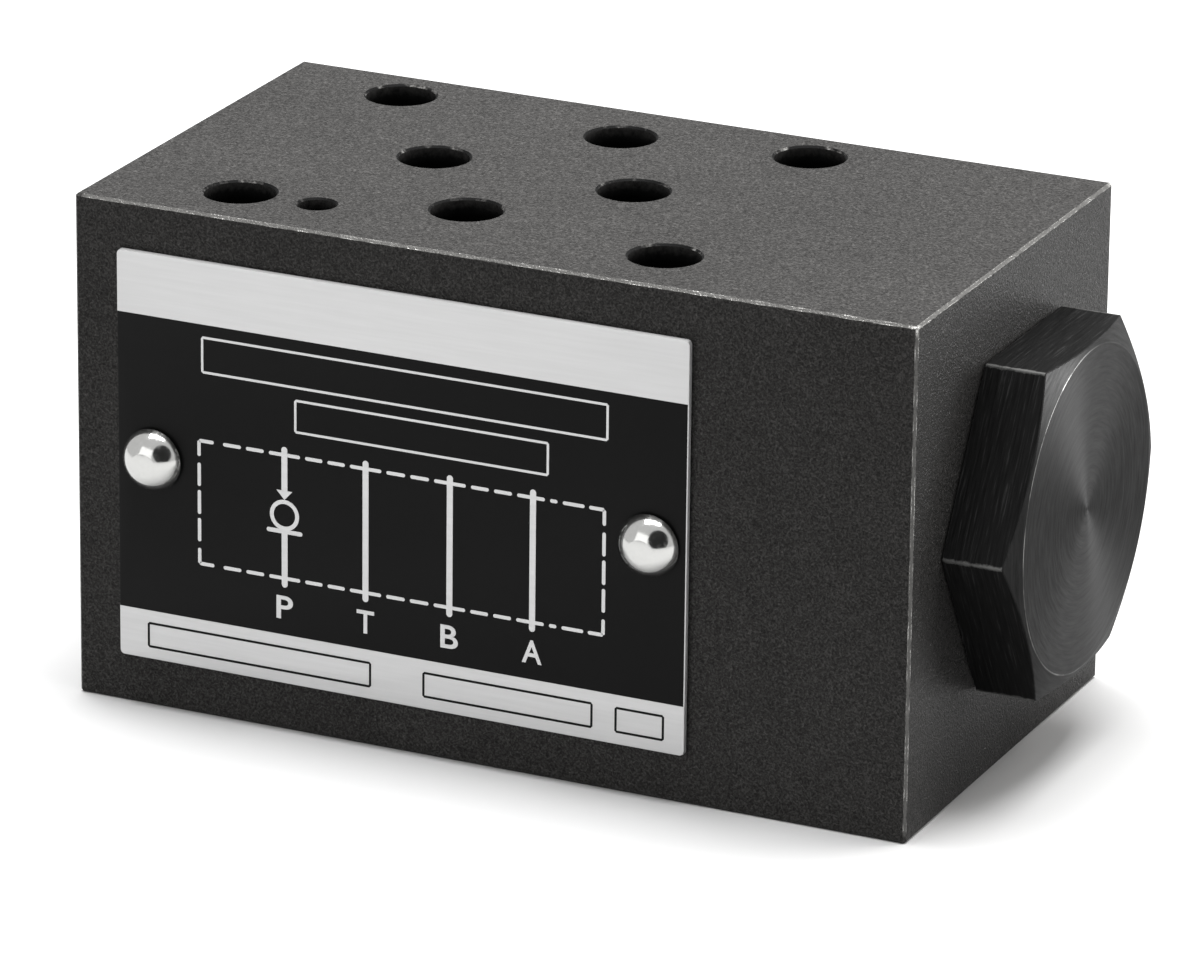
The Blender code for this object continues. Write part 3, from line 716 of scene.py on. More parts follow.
class VALVE_OT_block(bpy.types.Operator):
    """Make the drilled iron block"""

    bl_idname = "valve.block"
    bl_label = "Block"

    hole_segments = 96
    small_segments = 48
    low_p_end = 23.7 * MM
    high_p_end = 36.3 * MM
    gallery_radius = 2.4 * MM
    gallery_overrun = 4.0 * MM
    screw_hole_radius = 1.4 * MM
    screw_hole_depth = 2.6 * MM
    pin_from_bolt = 7.5 * MM
    mouth_reach = 0.2 * MM
    # Stations along the cavity and the radius of each step from there on, in millimetres
    cavity_steps = ((16.5, 7.0), (20.5, 8.0), (27.0, 10.3), (33.5, 12.0), (44.2, 13.2))
    # Where each gallery of port P starts, and the point it runs towards, in millimetres
    galleries = (
        ((-0.4, -11.8, 21.0), (18.5, -4.6, 21.0)),
        ((-0.4, -11.8, 39.0), (30.25, -1.7, 33.8)),
    )

    def cavity(self, mouth):
        outline = []
        ends = [station for station, _ in self.cavity_steps[1:]] + [RIGHT_X / MM]
        for (start, radius), end in zip(self.cavity_steps, ends):
            outline += [(start * MM, radius * MM), (end * MM, radius * MM)]
        radius = outline[-1][1]
        outline[-1] = (RIGHT_X - mouth, radius)
        outline += [(RIGHT_X, radius + mouth), (RIGHT_X + PAST, radius + mouth)]
        return put(lathe("cavity", outline, self.hole_segments), on_axis(0.0))

    def gallery(self, start, target):
        start, target = Vector(start) * MM, Vector(target) * MM
        run = target - start
        end = run.length + self.gallery_overrun
        outline = [(0.0, self.gallery_radius), (end, self.gallery_radius)]
        turn = Vector((0.0, 0.0, 1.0)).rotation_difference(run).to_matrix().to_4x4()
        place = Matrix.Translation(start) @ turn
        return put(lathe("gallery", outline, self.small_segments), place)

    def tools(self, sizes):
        """Everything that is cut out of the block."""
        mouth, depth = sizes.mouth_break, sizes.recess_depth
        upside_down = Matrix.Translation((0.0, 0.0, HEIGHT)) @ Matrix.Rotation(math.pi, 4, "X")
        hole = hole_outline(sizes.bolt_hole_radius, mouth)
        for centre in BOLT_HOLES:
            yield put(lathe("hole", hole, self.hole_segments), Matrix.Translation(centre))
        recess = [(-PAST, sizes.recess_radius), (depth, sizes.recess_radius), (depth, sizes.port_radius)]
        port = recess + hole_outline(sizes.port_radius, mouth)[3:]
        for centre in THROUGH_PORTS:
            yield put(lathe("port", port, self.hole_segments), Matrix.Translation(centre))
        blind = recess + hole_outline(sizes.port_radius, mouth, self.low_p_end)[3:]
        yield put(lathe("port", blind, self.hole_segments), Matrix.Translation(PORT_P))
        blind = hole_outline(sizes.port_radius, mouth, HEIGHT - self.high_p_end)
        place = Matrix.Translation(PORT_P) @ upside_down
        yield put(lathe("port", blind, self.hole_segments), place)
        pin = hole_outline(sizes.pin_hole_radius, mouth, sizes.pin_hole_depth)
        beside_bolt = Matrix.Translation(BOLT_HOLES[2] + Vector((self.pin_from_bolt, 0.0, 0.0)))
        for place in (beside_bolt, beside_bolt @ upside_down):
            yield put(lathe("pin", pin, self.small_segments), place)
        radius, depth = self.screw_hole_radius, self.screw_hole_depth
        screw = [(PAST, radius), (-depth, radius), (-depth - radius * math.tan(DRILL_TIP), 0.0)]
        for side in ("left", "right"):
            yield put(lathe("screw", screw, self.small_segments), screw_place(side, BLOCK_LOW.y))
        yield self.cavity(mouth)
        for start, target in self.galleries:
            yield self.gallery(start, target)

    def finish_of(self, face):
        """0 for the outside, 1 for a rubbed mouth in painted shade, 2 for a bore's wall in painted shade."""
        inside = all(
            low + PAST < value < high - PAST
            for value, low, high in zip(face.center[:2], BLOCK_LOW, BLOCK_HIGH)
        )
        if not inside or abs(face.normal.z) > 0.99:
            return 0
        near_face = min(face.center.z, HEIGHT - face.center.z) < self.mouth_reach
        return 1 if near_face and abs(face.normal.z) > 0.3 else 2

    def execute(self, context):
        sizes = context.scene.valve_block
        deselect()
        middle = (BLOCK_LOW + BLOCK_HIGH) / 2
        bpy.ops.mesh.primitive_cube_add(size=1.0, location=middle, scale=BLOCK_HIGH - BLOCK_LOW)
        block = added("block")
        edit_where(block, "EDGE")
        bpy.ops.mesh.bevel(offset=sizes.edge_break, segments=1, affect="EDGES")
        leave_edit()
        for tool in self.tools(sizes):
            cut(block, tool)
        paint(block, [phosphated_iron(sizes), rim_painted_shade_and_wear(sizes), bore_painted_light_and_shade(sizes)], self.finish_of)
        smooth(block)
        seated(block, "phosphated_iron", "valve_body")
        return {"FINISHED"}


class VALVE_OT_plug(bpy.types.Operator):
    """Make the hexagon plug, turned from hexagon bar"""

    bl_idname = "valve.plug"
    bl_label = "Hexagon plug"

    segments = 192
    under_head = 0.2 * MM
    shank_end = -12.5 * MM
    shank_chamfer = 0.6 * MM
    groove_width = 2.5 * MM
    socket_floor = -1.2 * MM

    def execute(self, context):
        sizes = context.scene.valve_plug
        head = PLUG_HIGH.x - RIGHT_X
        corner_radius = sizes.across_flats / math.sqrt(3)
        rim = corner_radius + PAST
        rim_height = head - (rim - sizes.face_radius) * math.tan(sizes.chamfer)
        end, chamfer, shank = self.shank_end, self.shank_chamfer, sizes.shank_radius
        outline = [(self.socket_floor, sizes.socket_radius), (end, sizes.socket_radius)]
        outline += [(end, shank - chamfer), (end + chamfer, shank), (-self.groove_width, shank)]
        outline += [(-self.groove_width, sizes.groove_radius), (self.under_head, sizes.groove_radius)]
        outline += [(self.under_head, rim), (rim_height, rim), (head, sizes.face_radius)]
        blank = put(lathe("blank", outline, self.segments), on_axis(RIGHT_X))
        deselect()
        bar, middle = head - end + 2 * PAST, (0.0, 0.0, (head + end) / 2)
        bpy.ops.mesh.primitive_cylinder_add(vertices=6, radius=corner_radius, depth=bar, location=middle)
        plug = put(added("plug"), on_axis(RIGHT_X))
        cut(plug, blank, "INTERSECT")
        break_edges(plug, sizes.corner_break, 25.0, 2)

        def finish_of(face):
            """0 where the lathe has cut, 1 on the bar's flats."""
            outside = face.center.x > RIGHT_X + self.under_head and abs(face.normal.x) < 0.05
            return 1 if outside else 0

        paint(plug, [turned_black_steel(sizes), drawn_black_steel(sizes)], finish_of)
        smooth(plug, 12.0)
        seated(plug, "black_oxide_steel", "hex_plug")
        return {"FINISHED"}


class VALVE_OT_plate(bpy.types.Operator):
    """Make the name plate's sheet, with its etched black field"""

    bl_idname = "valve.plate"
    bl_label = "Name plate"

    def execute(self, context):
        sizes = context.scene.valve_plate
        deselect()
        face_y = PLATE_LOW.y + sizes.etch_depth
        size = (PLATE_HIGH.x - PLATE_LOW.x, PLATE_HIGH.y - face_y, PLATE_HIGH.z - PLATE_LOW.z)
        middle_x, middle_z = (PLATE_LOW.x + PLATE_HIGH.x) / 2, (PLATE_LOW.z + PLATE_HIGH.z) / 2
        middle = (middle_x, (face_y + PLATE_HIGH.y) / 2, middle_z)
        bpy.ops.mesh.primitive_cube_add(size=1.0, location=middle, scale=size)
        plate = added("plate")
        edit_where(plate, "EDGE", lambda edge: abs(edge_run(plate, edge).y) > MERGE)
        bpy.ops.mesh.bevel(offset=sizes.corner_radius, segments=6, affect="EDGES")
        leave_edit()
        front = [v.index for v in plate.data.vertices if v.co.y < face_y + MERGE]
        edit_where(plate, "EDGE", lambda edge: all(i in front for i in edge.vertices))
        bpy.ops.mesh.bevel(offset=sizes.rim, segments=2, affect="EDGES")
        for height in (sizes.field_bottom, sizes.field_top):
            bpy.ops.mesh.select_all(action="SELECT")
            bpy.ops.mesh.bisect(plane_co=(0.0, 0.0, height), plane_no=(0.0, 0.0, 1.0))
        leave_edit()

        def on_band(face):
            outer = face.center.z > sizes.field_top or face.center.z < sizes.field_bottom
            return outer and face.normal.y < -0.9

        edit_where(plate, "FACE", on_band)
        # The two bare bands stand proud of the etched field between them
        proud = (0.0, -sizes.etch_depth, 0.0)
        bpy.ops.mesh.extrude_region_move(TRANSFORM_OT_translate={"value": proud})
        close_shell()
        radius = VALVE_OT_block.screw_hole_radius
        for side in ("left", "right"):
            hole = lathe("screw", [(-PAST, radius), (2 * PAST, radius)], 48)
            cut(plate, put(hole, screw_place(side, PLATE_HIGH.y)))

        def finish_of(face):
            """0 for bare sheet, 1 for the lacquered field, and for the rim on its left, where the black is
            painted shade.
            """
            etched = face.center.y < face_y + MERGE and face.normal.y < -0.9
            left_rim_painted_shade = face.normal.x < -0.3 and face.normal.y < -0.1
            in_field = sizes.field_bottom < face.center.z < sizes.field_top
            return 1 if in_field and (etched or left_rim_painted_shade) else 0

        paint(plate, [satin_aluminium(sizes), black_lacquer(sizes)], finish_of)
        smooth(plate)
        seated(plate, "plate_aluminium", "name_plate")
        return {"FINISHED"}


def root_y(sizes):
    """Where the plate's raised marks start, just below the etched field's face."""
    return PLATE_LOW.y + sizes.etch_depth * 1.5


def raised_line(name, run, width, low_y, high_y):
    """A line with round ends about the origin, raised from low_y out to high_y."""
    deselect()
    middle, size = (0.0, (low_y + high_y) / 2, 0.0), (run + width, abs(low_y - high_y), width)
    bpy.ops.mesh.primitive_cube_add(size=1.0, location=middle, scale=size)
    line = added(name)
    edit_where(line, "EDGE", lambda edge: abs(edge_run(line, edge).y) > MERGE)
    bpy.ops.mesh.bevel(offset=width * 0.49, segments=5, affect="EDGES")
    leave_edit()
    return line


def line_place(start, end):
    """Place of a raised line between two (x, z) points of the plate."""
    run = Vector((end[0] - start[0], 0.0, end[1] - start[1]))
    middle = ((start[0] + end[0]) / 2, 0.0, (start[1] + end[1]) / 2)
    turn = Vector((1.0, 0.0, 0.0)).rotation_difference(run).to_matrix().to_4x4()
    return Matrix.Translation(middle) @ turn, run.length


def raised_lines(name, lines, low_y, high_y):
    """Raised lines from (start, end, width) rows, joined into one piece."""
    shapes = {}
    pieces = []
    for start, end, width in lines:
        place, run = line_place(start, end)
        key = (round(run / MERGE), round(width / MERGE))
        if key not in shapes:
            shapes[key] = raised_line("line", run - width, width, low_y, high_y)
        pieces.append(twin(shapes[key], "line", place))
    for shape in shapes.values():
        bpy.data.objects.remove(shape, do_unlink=True)
    return join(name, pieces)


class VALVE_OT_symbol(bpy.types.Operator):
    """Make the raised hydraulic symbol: a check valve in line P, and three straight lines"""

    bl_idname = "valve.symbol"
    bl_label = "Symbol"

    lines = {"P": -12.08 * MM, "T": -4.17 * MM, "B": 3.97 * MM, "A": 11.93 * MM}
    crossing = 1.52 * MM
    short_crossing = 1.12 * MM
    corner = 1.45 * MM
    side_gap = 0.62 * MM
    dot = 0.7 * MM
    long_dash = 2.07 * MM
    line_top = 0.75 * MM
    line_bottom = 0.86 * MM
    ball_above_bottom = 5.9 * MM
    ball_stroke = 0.38 * MM
    seat_half = 1.75 * MM
    seat_width = 0.4 * MM
    arrow_width = 1.55 * MM
    arrow_height = 0.85 * MM

    def spans(self, sizes):
        """Start and end of each dash along the top and the bottom of the box."""
        places = list(self.lines.values())
        gap, reach = sizes.gap, self.crossing
        step = sizes.dash + gap
        first = places[0] - reach
        spans = [(sizes.box_left, sizes.box_left + self.corner)]
        spans += [(first - 2 * step, first - step - gap), (first - step, first - gap)]
        for place, following in zip(places, places[1:]):
            # Two dashes share the space up to the next line's own dash
            dash = (following - place - 2 * reach - 3 * gap) / 2
            start = place + reach + gap
            after = start + dash + gap
            spans += [(place - reach, place + reach), (start, start + dash), (after, after + dash)]
        # The last line's dash is shorter, with a dot and a long dash after it
        end = places[-1] + self.short_crossing
        spans.append((places[-1] - reach, end))
        for run in (self.dot, self.long_dash):
            spans.append((end + gap, end + gap + run))
            end += gap + run
        return spans + [(sizes.box_right - self.corner, sizes.box_right)]

    def sides(self, sizes):
        """Top and bottom of each dash along the sides: three dashes between two corner pieces."""
        top, bottom, corner, gap = sizes.box_top, sizes.box_bottom, self.corner, self.side_gap
        drop = (top - bottom - 2 * corner) / 3
        high, low = top - corner - drop, bottom + corner + drop
        yield top, top - corner
        yield top - corner - gap, high + gap * 0.1
        yield high - gap * 0.5, low + gap * 0.5
        yield low - gap * 0.1, bottom + corner + gap
        yield bottom + corner, bottom

    def execute(self, context):
        sizes = context.scene.valve_plate
        low_y = root_y(sizes)
        top, bottom = sizes.box_top, sizes.box_bottom
        dashes = []
        for start, end in self.spans(sizes):
            for height in (top, bottom):
                dashes.append(((start, height), (end, height), sizes.dash_width))
        for x in (sizes.box_left, sizes.box_right):
            dashes += [((x, low), (x, high), sizes.dash_width) for high, low in self.sides(sizes)]
        upper, lower = top + self.line_top, bottom - self.line_bottom
        ball_z = bottom + self.ball_above_bottom
        arrow_z = ball_z + sizes.ball_radius
        seat_z = ball_z - sizes.ball_radius - self.seat_width / 4
        x = self.lines["P"]
        flow = [
            ((x, arrow_z + self.arrow_height / 2), (x, upper), sizes.line_width),
            ((x, lower), (x, seat_z), sizes.line_width),
        ]
        for letter in "TBA":
            straight = self.lines[letter]
            flow.append(((straight, lower), (straight, upper), sizes.line_width))
        seat = [((x - self.seat_half, seat_z), (x + self.seat_half, seat_z), self.seat_width)]
        # Where lines cross, one lies a few thousandths of a millimetre above the other
        rows = (("dashes", dashes, 0.015), ("flow", flow, 0.01), ("seat", seat, 0.005))
        pieces = [raised_lines(name, lines, low_y, PLATE_LOW.y + below * MM) for name, lines, below in rows]

        depth = PLATE_LOW.y - low_y
        inner = sizes.ball_radius - self.ball_stroke
        ball = [(0.0, inner), (0.0, sizes.ball_radius), (-depth, sizes.ball_radius), (-depth, inner)]
        place = Matrix.Translation((x, low_y, ball_z)) @ OUT_OF_FRONT
        pieces.append(put(lathe("ball", ball, 64, closed=True), place))

        # The arrow's head is a triangle standing on its point
        deselect()
        bpy.ops.mesh.primitive_circle_add(vertices=3, radius=1.0, fill_type="NGON")
        arrow = added("arrow")
        edit_where(arrow, "FACE")
        bpy.ops.mesh.extrude_region_move(TRANSFORM_OT_translate={"value": (0.0, 0.0, -depth)})
        leave_edit()
        # Its first corner is 1.0 up, and the other two are 0.5 down and 1.732 apart
        rise = self.arrow_height / 1.5
        flat = Matrix.Diagonal((self.arrow_width / math.sqrt(3), -rise, 1.0, 1.0))
        put(arrow, Matrix.Translation((x, low_y, arrow_z + rise)) @ OUT_OF_FRONT @ flat)
        edit_where(arrow, "FACE")
        close_shell()
        pieces.append(arrow)

        symbol = join("symbol", pieces)
        paint(symbol, [satin_aluminium(sizes)])
        smooth(symbol)
        seated(symbol, "plate_aluminium")
        return {"FINISHED"}


class VALVE_OT_letters(bpy.types.Operator):
    """Make the raised letters that mark the ports"""

    bl_idname = "valve.letters"
    bl_label = "Port letters"

    below_lines = 0.8 * MM
    widths = {"P": 1.62, "T": 1.7, "B": 1.7, "A": 1.9}

    def execute(self, context):
        sizes = context.scene.valve_plate
        low_y = root_y(sizes)
        top = sizes.box_bottom - VALVE_OT_symbol.line_bottom - self.below_lines
        pieces = []
        for letter, x in VALVE_OT_symbol.lines.items():
            deselect()
            bpy.ops.object.text_add()
            text = bpy.context.object
            text.data.body = letter
            text.data.size = 1.0
            text.data.offset = 0.014
            text.data.resolution_u = 6
            text.data.extrude = 0.5
            bpy.ops.object.convert(target="MESH")
            mark = bpy.context.object
            mark.name = mark.data.name = f"letter_{letter}"
            low = [min(v.co[i] for v in mark.data.vertices) for i in range(3)]
            high = [max(v.co[i] for v in mark.data.vertices) for i in range(3)]
            middle = Matrix.Translation([-(a + b) / 2 for a, b in zip(low, high)])
            size = (self.widths[letter] * MM, sizes.letter_height, low_y - PLATE_LOW.y)
            fit = Matrix.Diagonal((*(new / (b - a) for new, a, b in zip(size, low, high)), 1.0))
            centre = (x, (low_y + PLATE_LOW.y) / 2, top - sizes.letter_height / 2)
            pieces.append(put(mark, Matrix.Translation(centre) @ OUT_OF_FRONT @ fit @ middle))
        letters = join("port_letters", pieces)
        edit_where(letters, "FACE")
        close_shell()
        paint(letters, [satin_aluminium(sizes)])
        smooth(letters)
        seated(letters, "plate_aluminium")
        return {"FINISHED"}


class VALVE_OT_fields(bpy.types.Operator):
    """Make the plate's blank ruled fields"""

    bl_idname = "valve.fields"
    bl_label = "Blank fields"

    rule = 0.22 * MM
    ink_root = 0.02 * MM
    ink_rise = 0.015 * MM
    step_down = 0.005 * MM
    # Left, right, bottom and top of each frame on the black field, and on the bottom band
    raised = ((-20.1, 18.9, 32.5, 35.7), (-11.0, 13.3, 28.4, 31.3))
    printed = ((-25.6, -3.7, 5.9, 8.1), (1.5, 17.7, 5.9, 8.1), (20.0, 24.5, 5.9, 8.1))

    def frames(self, name, fields, low_y, high_y):
        level, upright = [], []
        for field in fields:
            left, right, bottom, top = (value * MM for value in field)
            level += [((left, height), (right, height), self.rule) for height in (bottom, top)]
            upright += [((x, bottom), (x, top), self.rule) for x in (left, right)]
        level = raised_lines("level", level, low_y, high_y)
        # The uprights stay a little lower, so that their ends don't share the other lines' faces
        upright = raised_lines("upright", upright, low_y, high_y + self.step_down)
        return join(name, [level, upright])

    def execute(self, context):
        sizes = context.scene.valve_plate
        fields = self.frames("raised_fields", self.raised, root_y(sizes), PLATE_LOW.y)
        low_y, high_y = PLATE_LOW.y + self.ink_root, PLATE_LOW.y - self.ink_rise
        ink = self.frames("printed_fields", self.printed, low_y, high_y)
        for piece, finish in ((fields, satin_aluminium(sizes)), (ink, black_lacquer(sizes))):
            paint(piece, [finish])
            smooth(piece)
            seated(piece, "plate_aluminium")
        return {"FINISHED"}


class VALVE_OT_screws(bpy.types.Operator):
    """Make the two round-head drive screws"""

    bl_idname = "valve.screws"
    bl_label = "Drive screws"

    dome_steps = 14
    shank = 3.4 * MM

    def execute(self, context):
        sizes = context.scene.valve_fittings
        radius, height = sizes.screw_head_radius, sizes.screw_head_height
        shank_radius = sizes.screw_shank_radius
        # The dome is part of a sphere, from the head's rim up to the flat on its crown
        flat = sizes.crown_radius
        centre = (flat**2 + height**2 - radius**2) / (2 * height)
        sphere = math.hypot(radius, centre)
        low_angle, high_angle = math.acos(-centre / sphere), math.asin(flat / sphere)
        tip = (shank_radius - self.shank, shank_radius / 2)
        outline = [tip, (1.5 * shank_radius - self.shank, shank_radius), (0.0, shank_radius)]
        for step in range(self.dome_steps + 1):
            angle = low_angle + (high_angle - low_angle) * step / self.dome_steps
            outline.append((centre + sphere * math.cos(angle), sphere * math.sin(angle)))
        pattern = lathe("screw", outline, 96)
        paint(pattern, [bright_nickel(sizes)])
        smooth(pattern)
        for side in ("left", "right"):
            node = f"drive_screw_{side}"
            screw = twin(pattern, f"screw_{side}", screw_place(side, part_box(node)[0].y + height))
            seated(screw, "nickel_plate", node)
        bpy.data.objects.remove(pattern, do_unlink=True)
        return {"FINISHED"}


class VALVE_OT_cartridge(bpy.types.Operator):
    """Make the seat, the guide sleeve and the poppet"""

    bl_idname = "valve.cartridge"
    bl_label = "Check cartridge"

    segments = 96
    outer_radius = 7.7 * MM
    edge = 0.25 * MM
    small_edge = 0.2 * MM
    bore_radius = 5.5 * MM
    relief_radius = 6.6 * MM
    relief_end = 5.9 * MM
    spring_bore = 4.0 * MM
    spring_floor = 5.0 * MM
    window_from_end = 3.7 * MM
    window_radius = 1.8 * MM
    vent_from_nose = 6.4 * MM
    vent_radius = 0.7 * MM
    drill_reach = 9.0 * MM
    # Heights along the axis and radii, in millimetres, of the seat and of the poppet's cone
    seat_outline = (
        (0.0, 4.4), (0.0, 7.45), (0.25, 7.7), (1.3, 7.7), (1.3, 6.1), (3.3, 6.1),
        (3.3, 7.7), (4.15, 7.7), (4.4, 7.45), (4.4, 4.4), (4.0, 4.0), (0.4, 4.0),
    )
    poppet_nose = ((3.4, 5.4), (0.15, 2.15), (0.0, 1.9))

    def drill(self, piece, x, radius, turn):
        """Two drillings straight across a turned piece, each through the middle of two of its facets."""
        for number in range(2):
            angle = turn + number * math.pi / 2 + math.pi / self.segments
            place = Matrix.Translation((x, AXIS_Y, AXIS_Z)) @ Matrix.Rotation(angle, 4, "X")
            drill = lathe("drill", [(-self.drill_reach, radius), (self.drill_reach, radius)], 40)
            cut(piece, put(drill, place))

    def execute(self, context):
        steel = ground_steel(context.scene.valve_fittings)
        outline = [(height * MM, radius * MM) for height, radius in self.seat_outline]
        seat = put(lathe("seat", outline, self.segments, closed=True), on_axis(SEAT_LOW.x))

        run = SLEEVE_HIGH.x - SLEEVE_LOW.x
        outer, edge, bore, relief = self.outer_radius, self.edge, self.bore_radius, self.relief_radius
        outline = [(0.0, relief), (0.0, outer - edge), (edge, outer), (run - edge, outer)]
        outline += [(run, outer - edge), (run, bore + self.small_edge), (run - self.small_edge, bore)]
        outline += [(self.relief_end, bore), (self.relief_end, relief)]
        sleeve = lathe("sleeve", outline, self.segments, closed=True)
        put(sleeve, on_axis(SLEEVE_LOW.x))
        self.drill(sleeve, SLEEVE_LOW.x + self.window_from_end, self.window_radius, 0.0)

        run = POPPET_HIGH.x - POPPET_LOW.x
        outline = [(height * MM, radius * MM) for height, radius in self.poppet_nose]
        skirt = outline[0][1]
        outline = [(run, skirt - self.small_edge), (run - self.small_edge, skirt)] + outline
        outline = [(self.spring_floor, self.spring_bore), (run, self.spring_bore)] + outline
        poppet = put(lathe("poppet", outline, self.segments), on_axis(POPPET_LOW.x))
        self.drill(poppet, POPPET_LOW.x + self.vent_from_nose, self.vent_radius, math.pi / 4)

        for piece in (seat, sleeve, poppet):
            paint(piece, [steel])
            smooth(piece)
        seated(seat, "ground_steel", "valve_seat")
        seated(sleeve, "ground_steel", "guide_sleeve")
        seated(poppet, "ground_steel", "check_poppet", body=POPPET)
        return {"FINISHED"}


class VALVE_OT_spring(bpy.types.Operator):
    """Make the spring that closes the poppet"""

    bl_idname = "valve.spring"
    bl_label = "Spring"

    points_per_turn = 32
    coil_radius = 3.2 * MM
    close_gap = 0.2 * MM
    lift = 3.0 * MM

    def execute(self, context):
        sizes = context.scene.valve_fittings
        wire, turns = sizes.wire_radius, sizes.spring_turns
        run = SPRING_HIGH.x - SPRING_LOW.x
        close_pitch = 2 * wire + self.close_gap
        open_pitch = (run - 2 * wire - 2 * close_pitch) / (turns - 2)
        curve = bpy.data.curves.new("spring", "CURVE")
        curve.dimensions = "3D"
        curve.bevel_depth = wire
        curve.bevel_resolution = 4
        curve.use_fill_caps = True
        spline = curve.splines.new("POLY")
        spline.points.add(turns * self.points_per_turn)
        height = wire
        for index, point in enumerate(spline.points):
            turn = index / self.points_per_turn
            angle = 2 * math.pi * turn
            at_end = turn < 1 or turn >= turns - 1
            across = (self.coil_radius * math.cos(angle), self.coil_radius * math.sin(angle))
            point.co = (*across, height, 1.0)
            height += (close_pitch if at_end else open_pitch) / self.points_per_turn
        spring = bpy.data.objects.new("spring", curve)
        context.scene.collection.objects.link(spring)
        only(spring)
        bpy.ops.object.convert(target="MESH")
        spring = put(context.object, on_axis(SPRING_LOW.x))
        edit_where(spring, "FACE")
        close_shell()
        paint(spring, [wound_wire(sizes)])
        smooth(spring, 50.0)
        seated(spring, "spring_steel", "check_spring")
        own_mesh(spring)
        return {"FINISHED"}


class VALVE_OT_seals(bpy.types.Operator):
    """Make the round seals: four in the bottom face, one at the seat and one at the plug"""

    bl_idname = "valve.seals"
    bl_label = "Seals"

    # Half the width of each seal's section
    port_half_width = 1.03 * MM
    seat_half_width = 0.75 * MM
    plug_half_width = 1.05 * MM

    def seal(self, name, node, half_width, rubber):
        """A round seal, squeezed flat where it bears on its groove."""
        low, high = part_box(node)
        size = high - low
        in_bottom = size.z < size.x
        half_height = (size.z if in_bottom else size.x) / 2
        outer = (size.x if in_bottom else size.y) / 2
        place = Matrix.Translation((low + high) / 2) if in_bottom else on_axis((low.x + high.x) / 2)
        deselect()
        bpy.ops.mesh.primitive_torus_add(
            major_radius=outer - half_width, minor_radius=half_width, major_segments=96, minor_segments=24
        )
        ring = added(name)
        for vertex in ring.data.vertices:
            vertex.co.z = max(-half_height, min(half_height, vertex.co.z))
        edit_where(ring, "FACE")
        close_shell()
        put(ring, place)
        smooth(ring, 60.0)
        paint(ring, [rubber])
        seated(ring, "nitrile_rubber", node)

    def execute(self, context):
        rubber = moulded_nitrile(context.scene.valve_fittings)
        for letter in "ptab":
            self.seal(f"seal_{letter}", f"port_o_ring_{letter}", self.port_half_width, rubber)
        self.seal("seal_seat", "seat_o_ring", self.seat_half_width, rubber)
        self.seal("seal_plug", "plug_o_ring", self.plug_half_width, rubber)
        return {"FINISHED"}


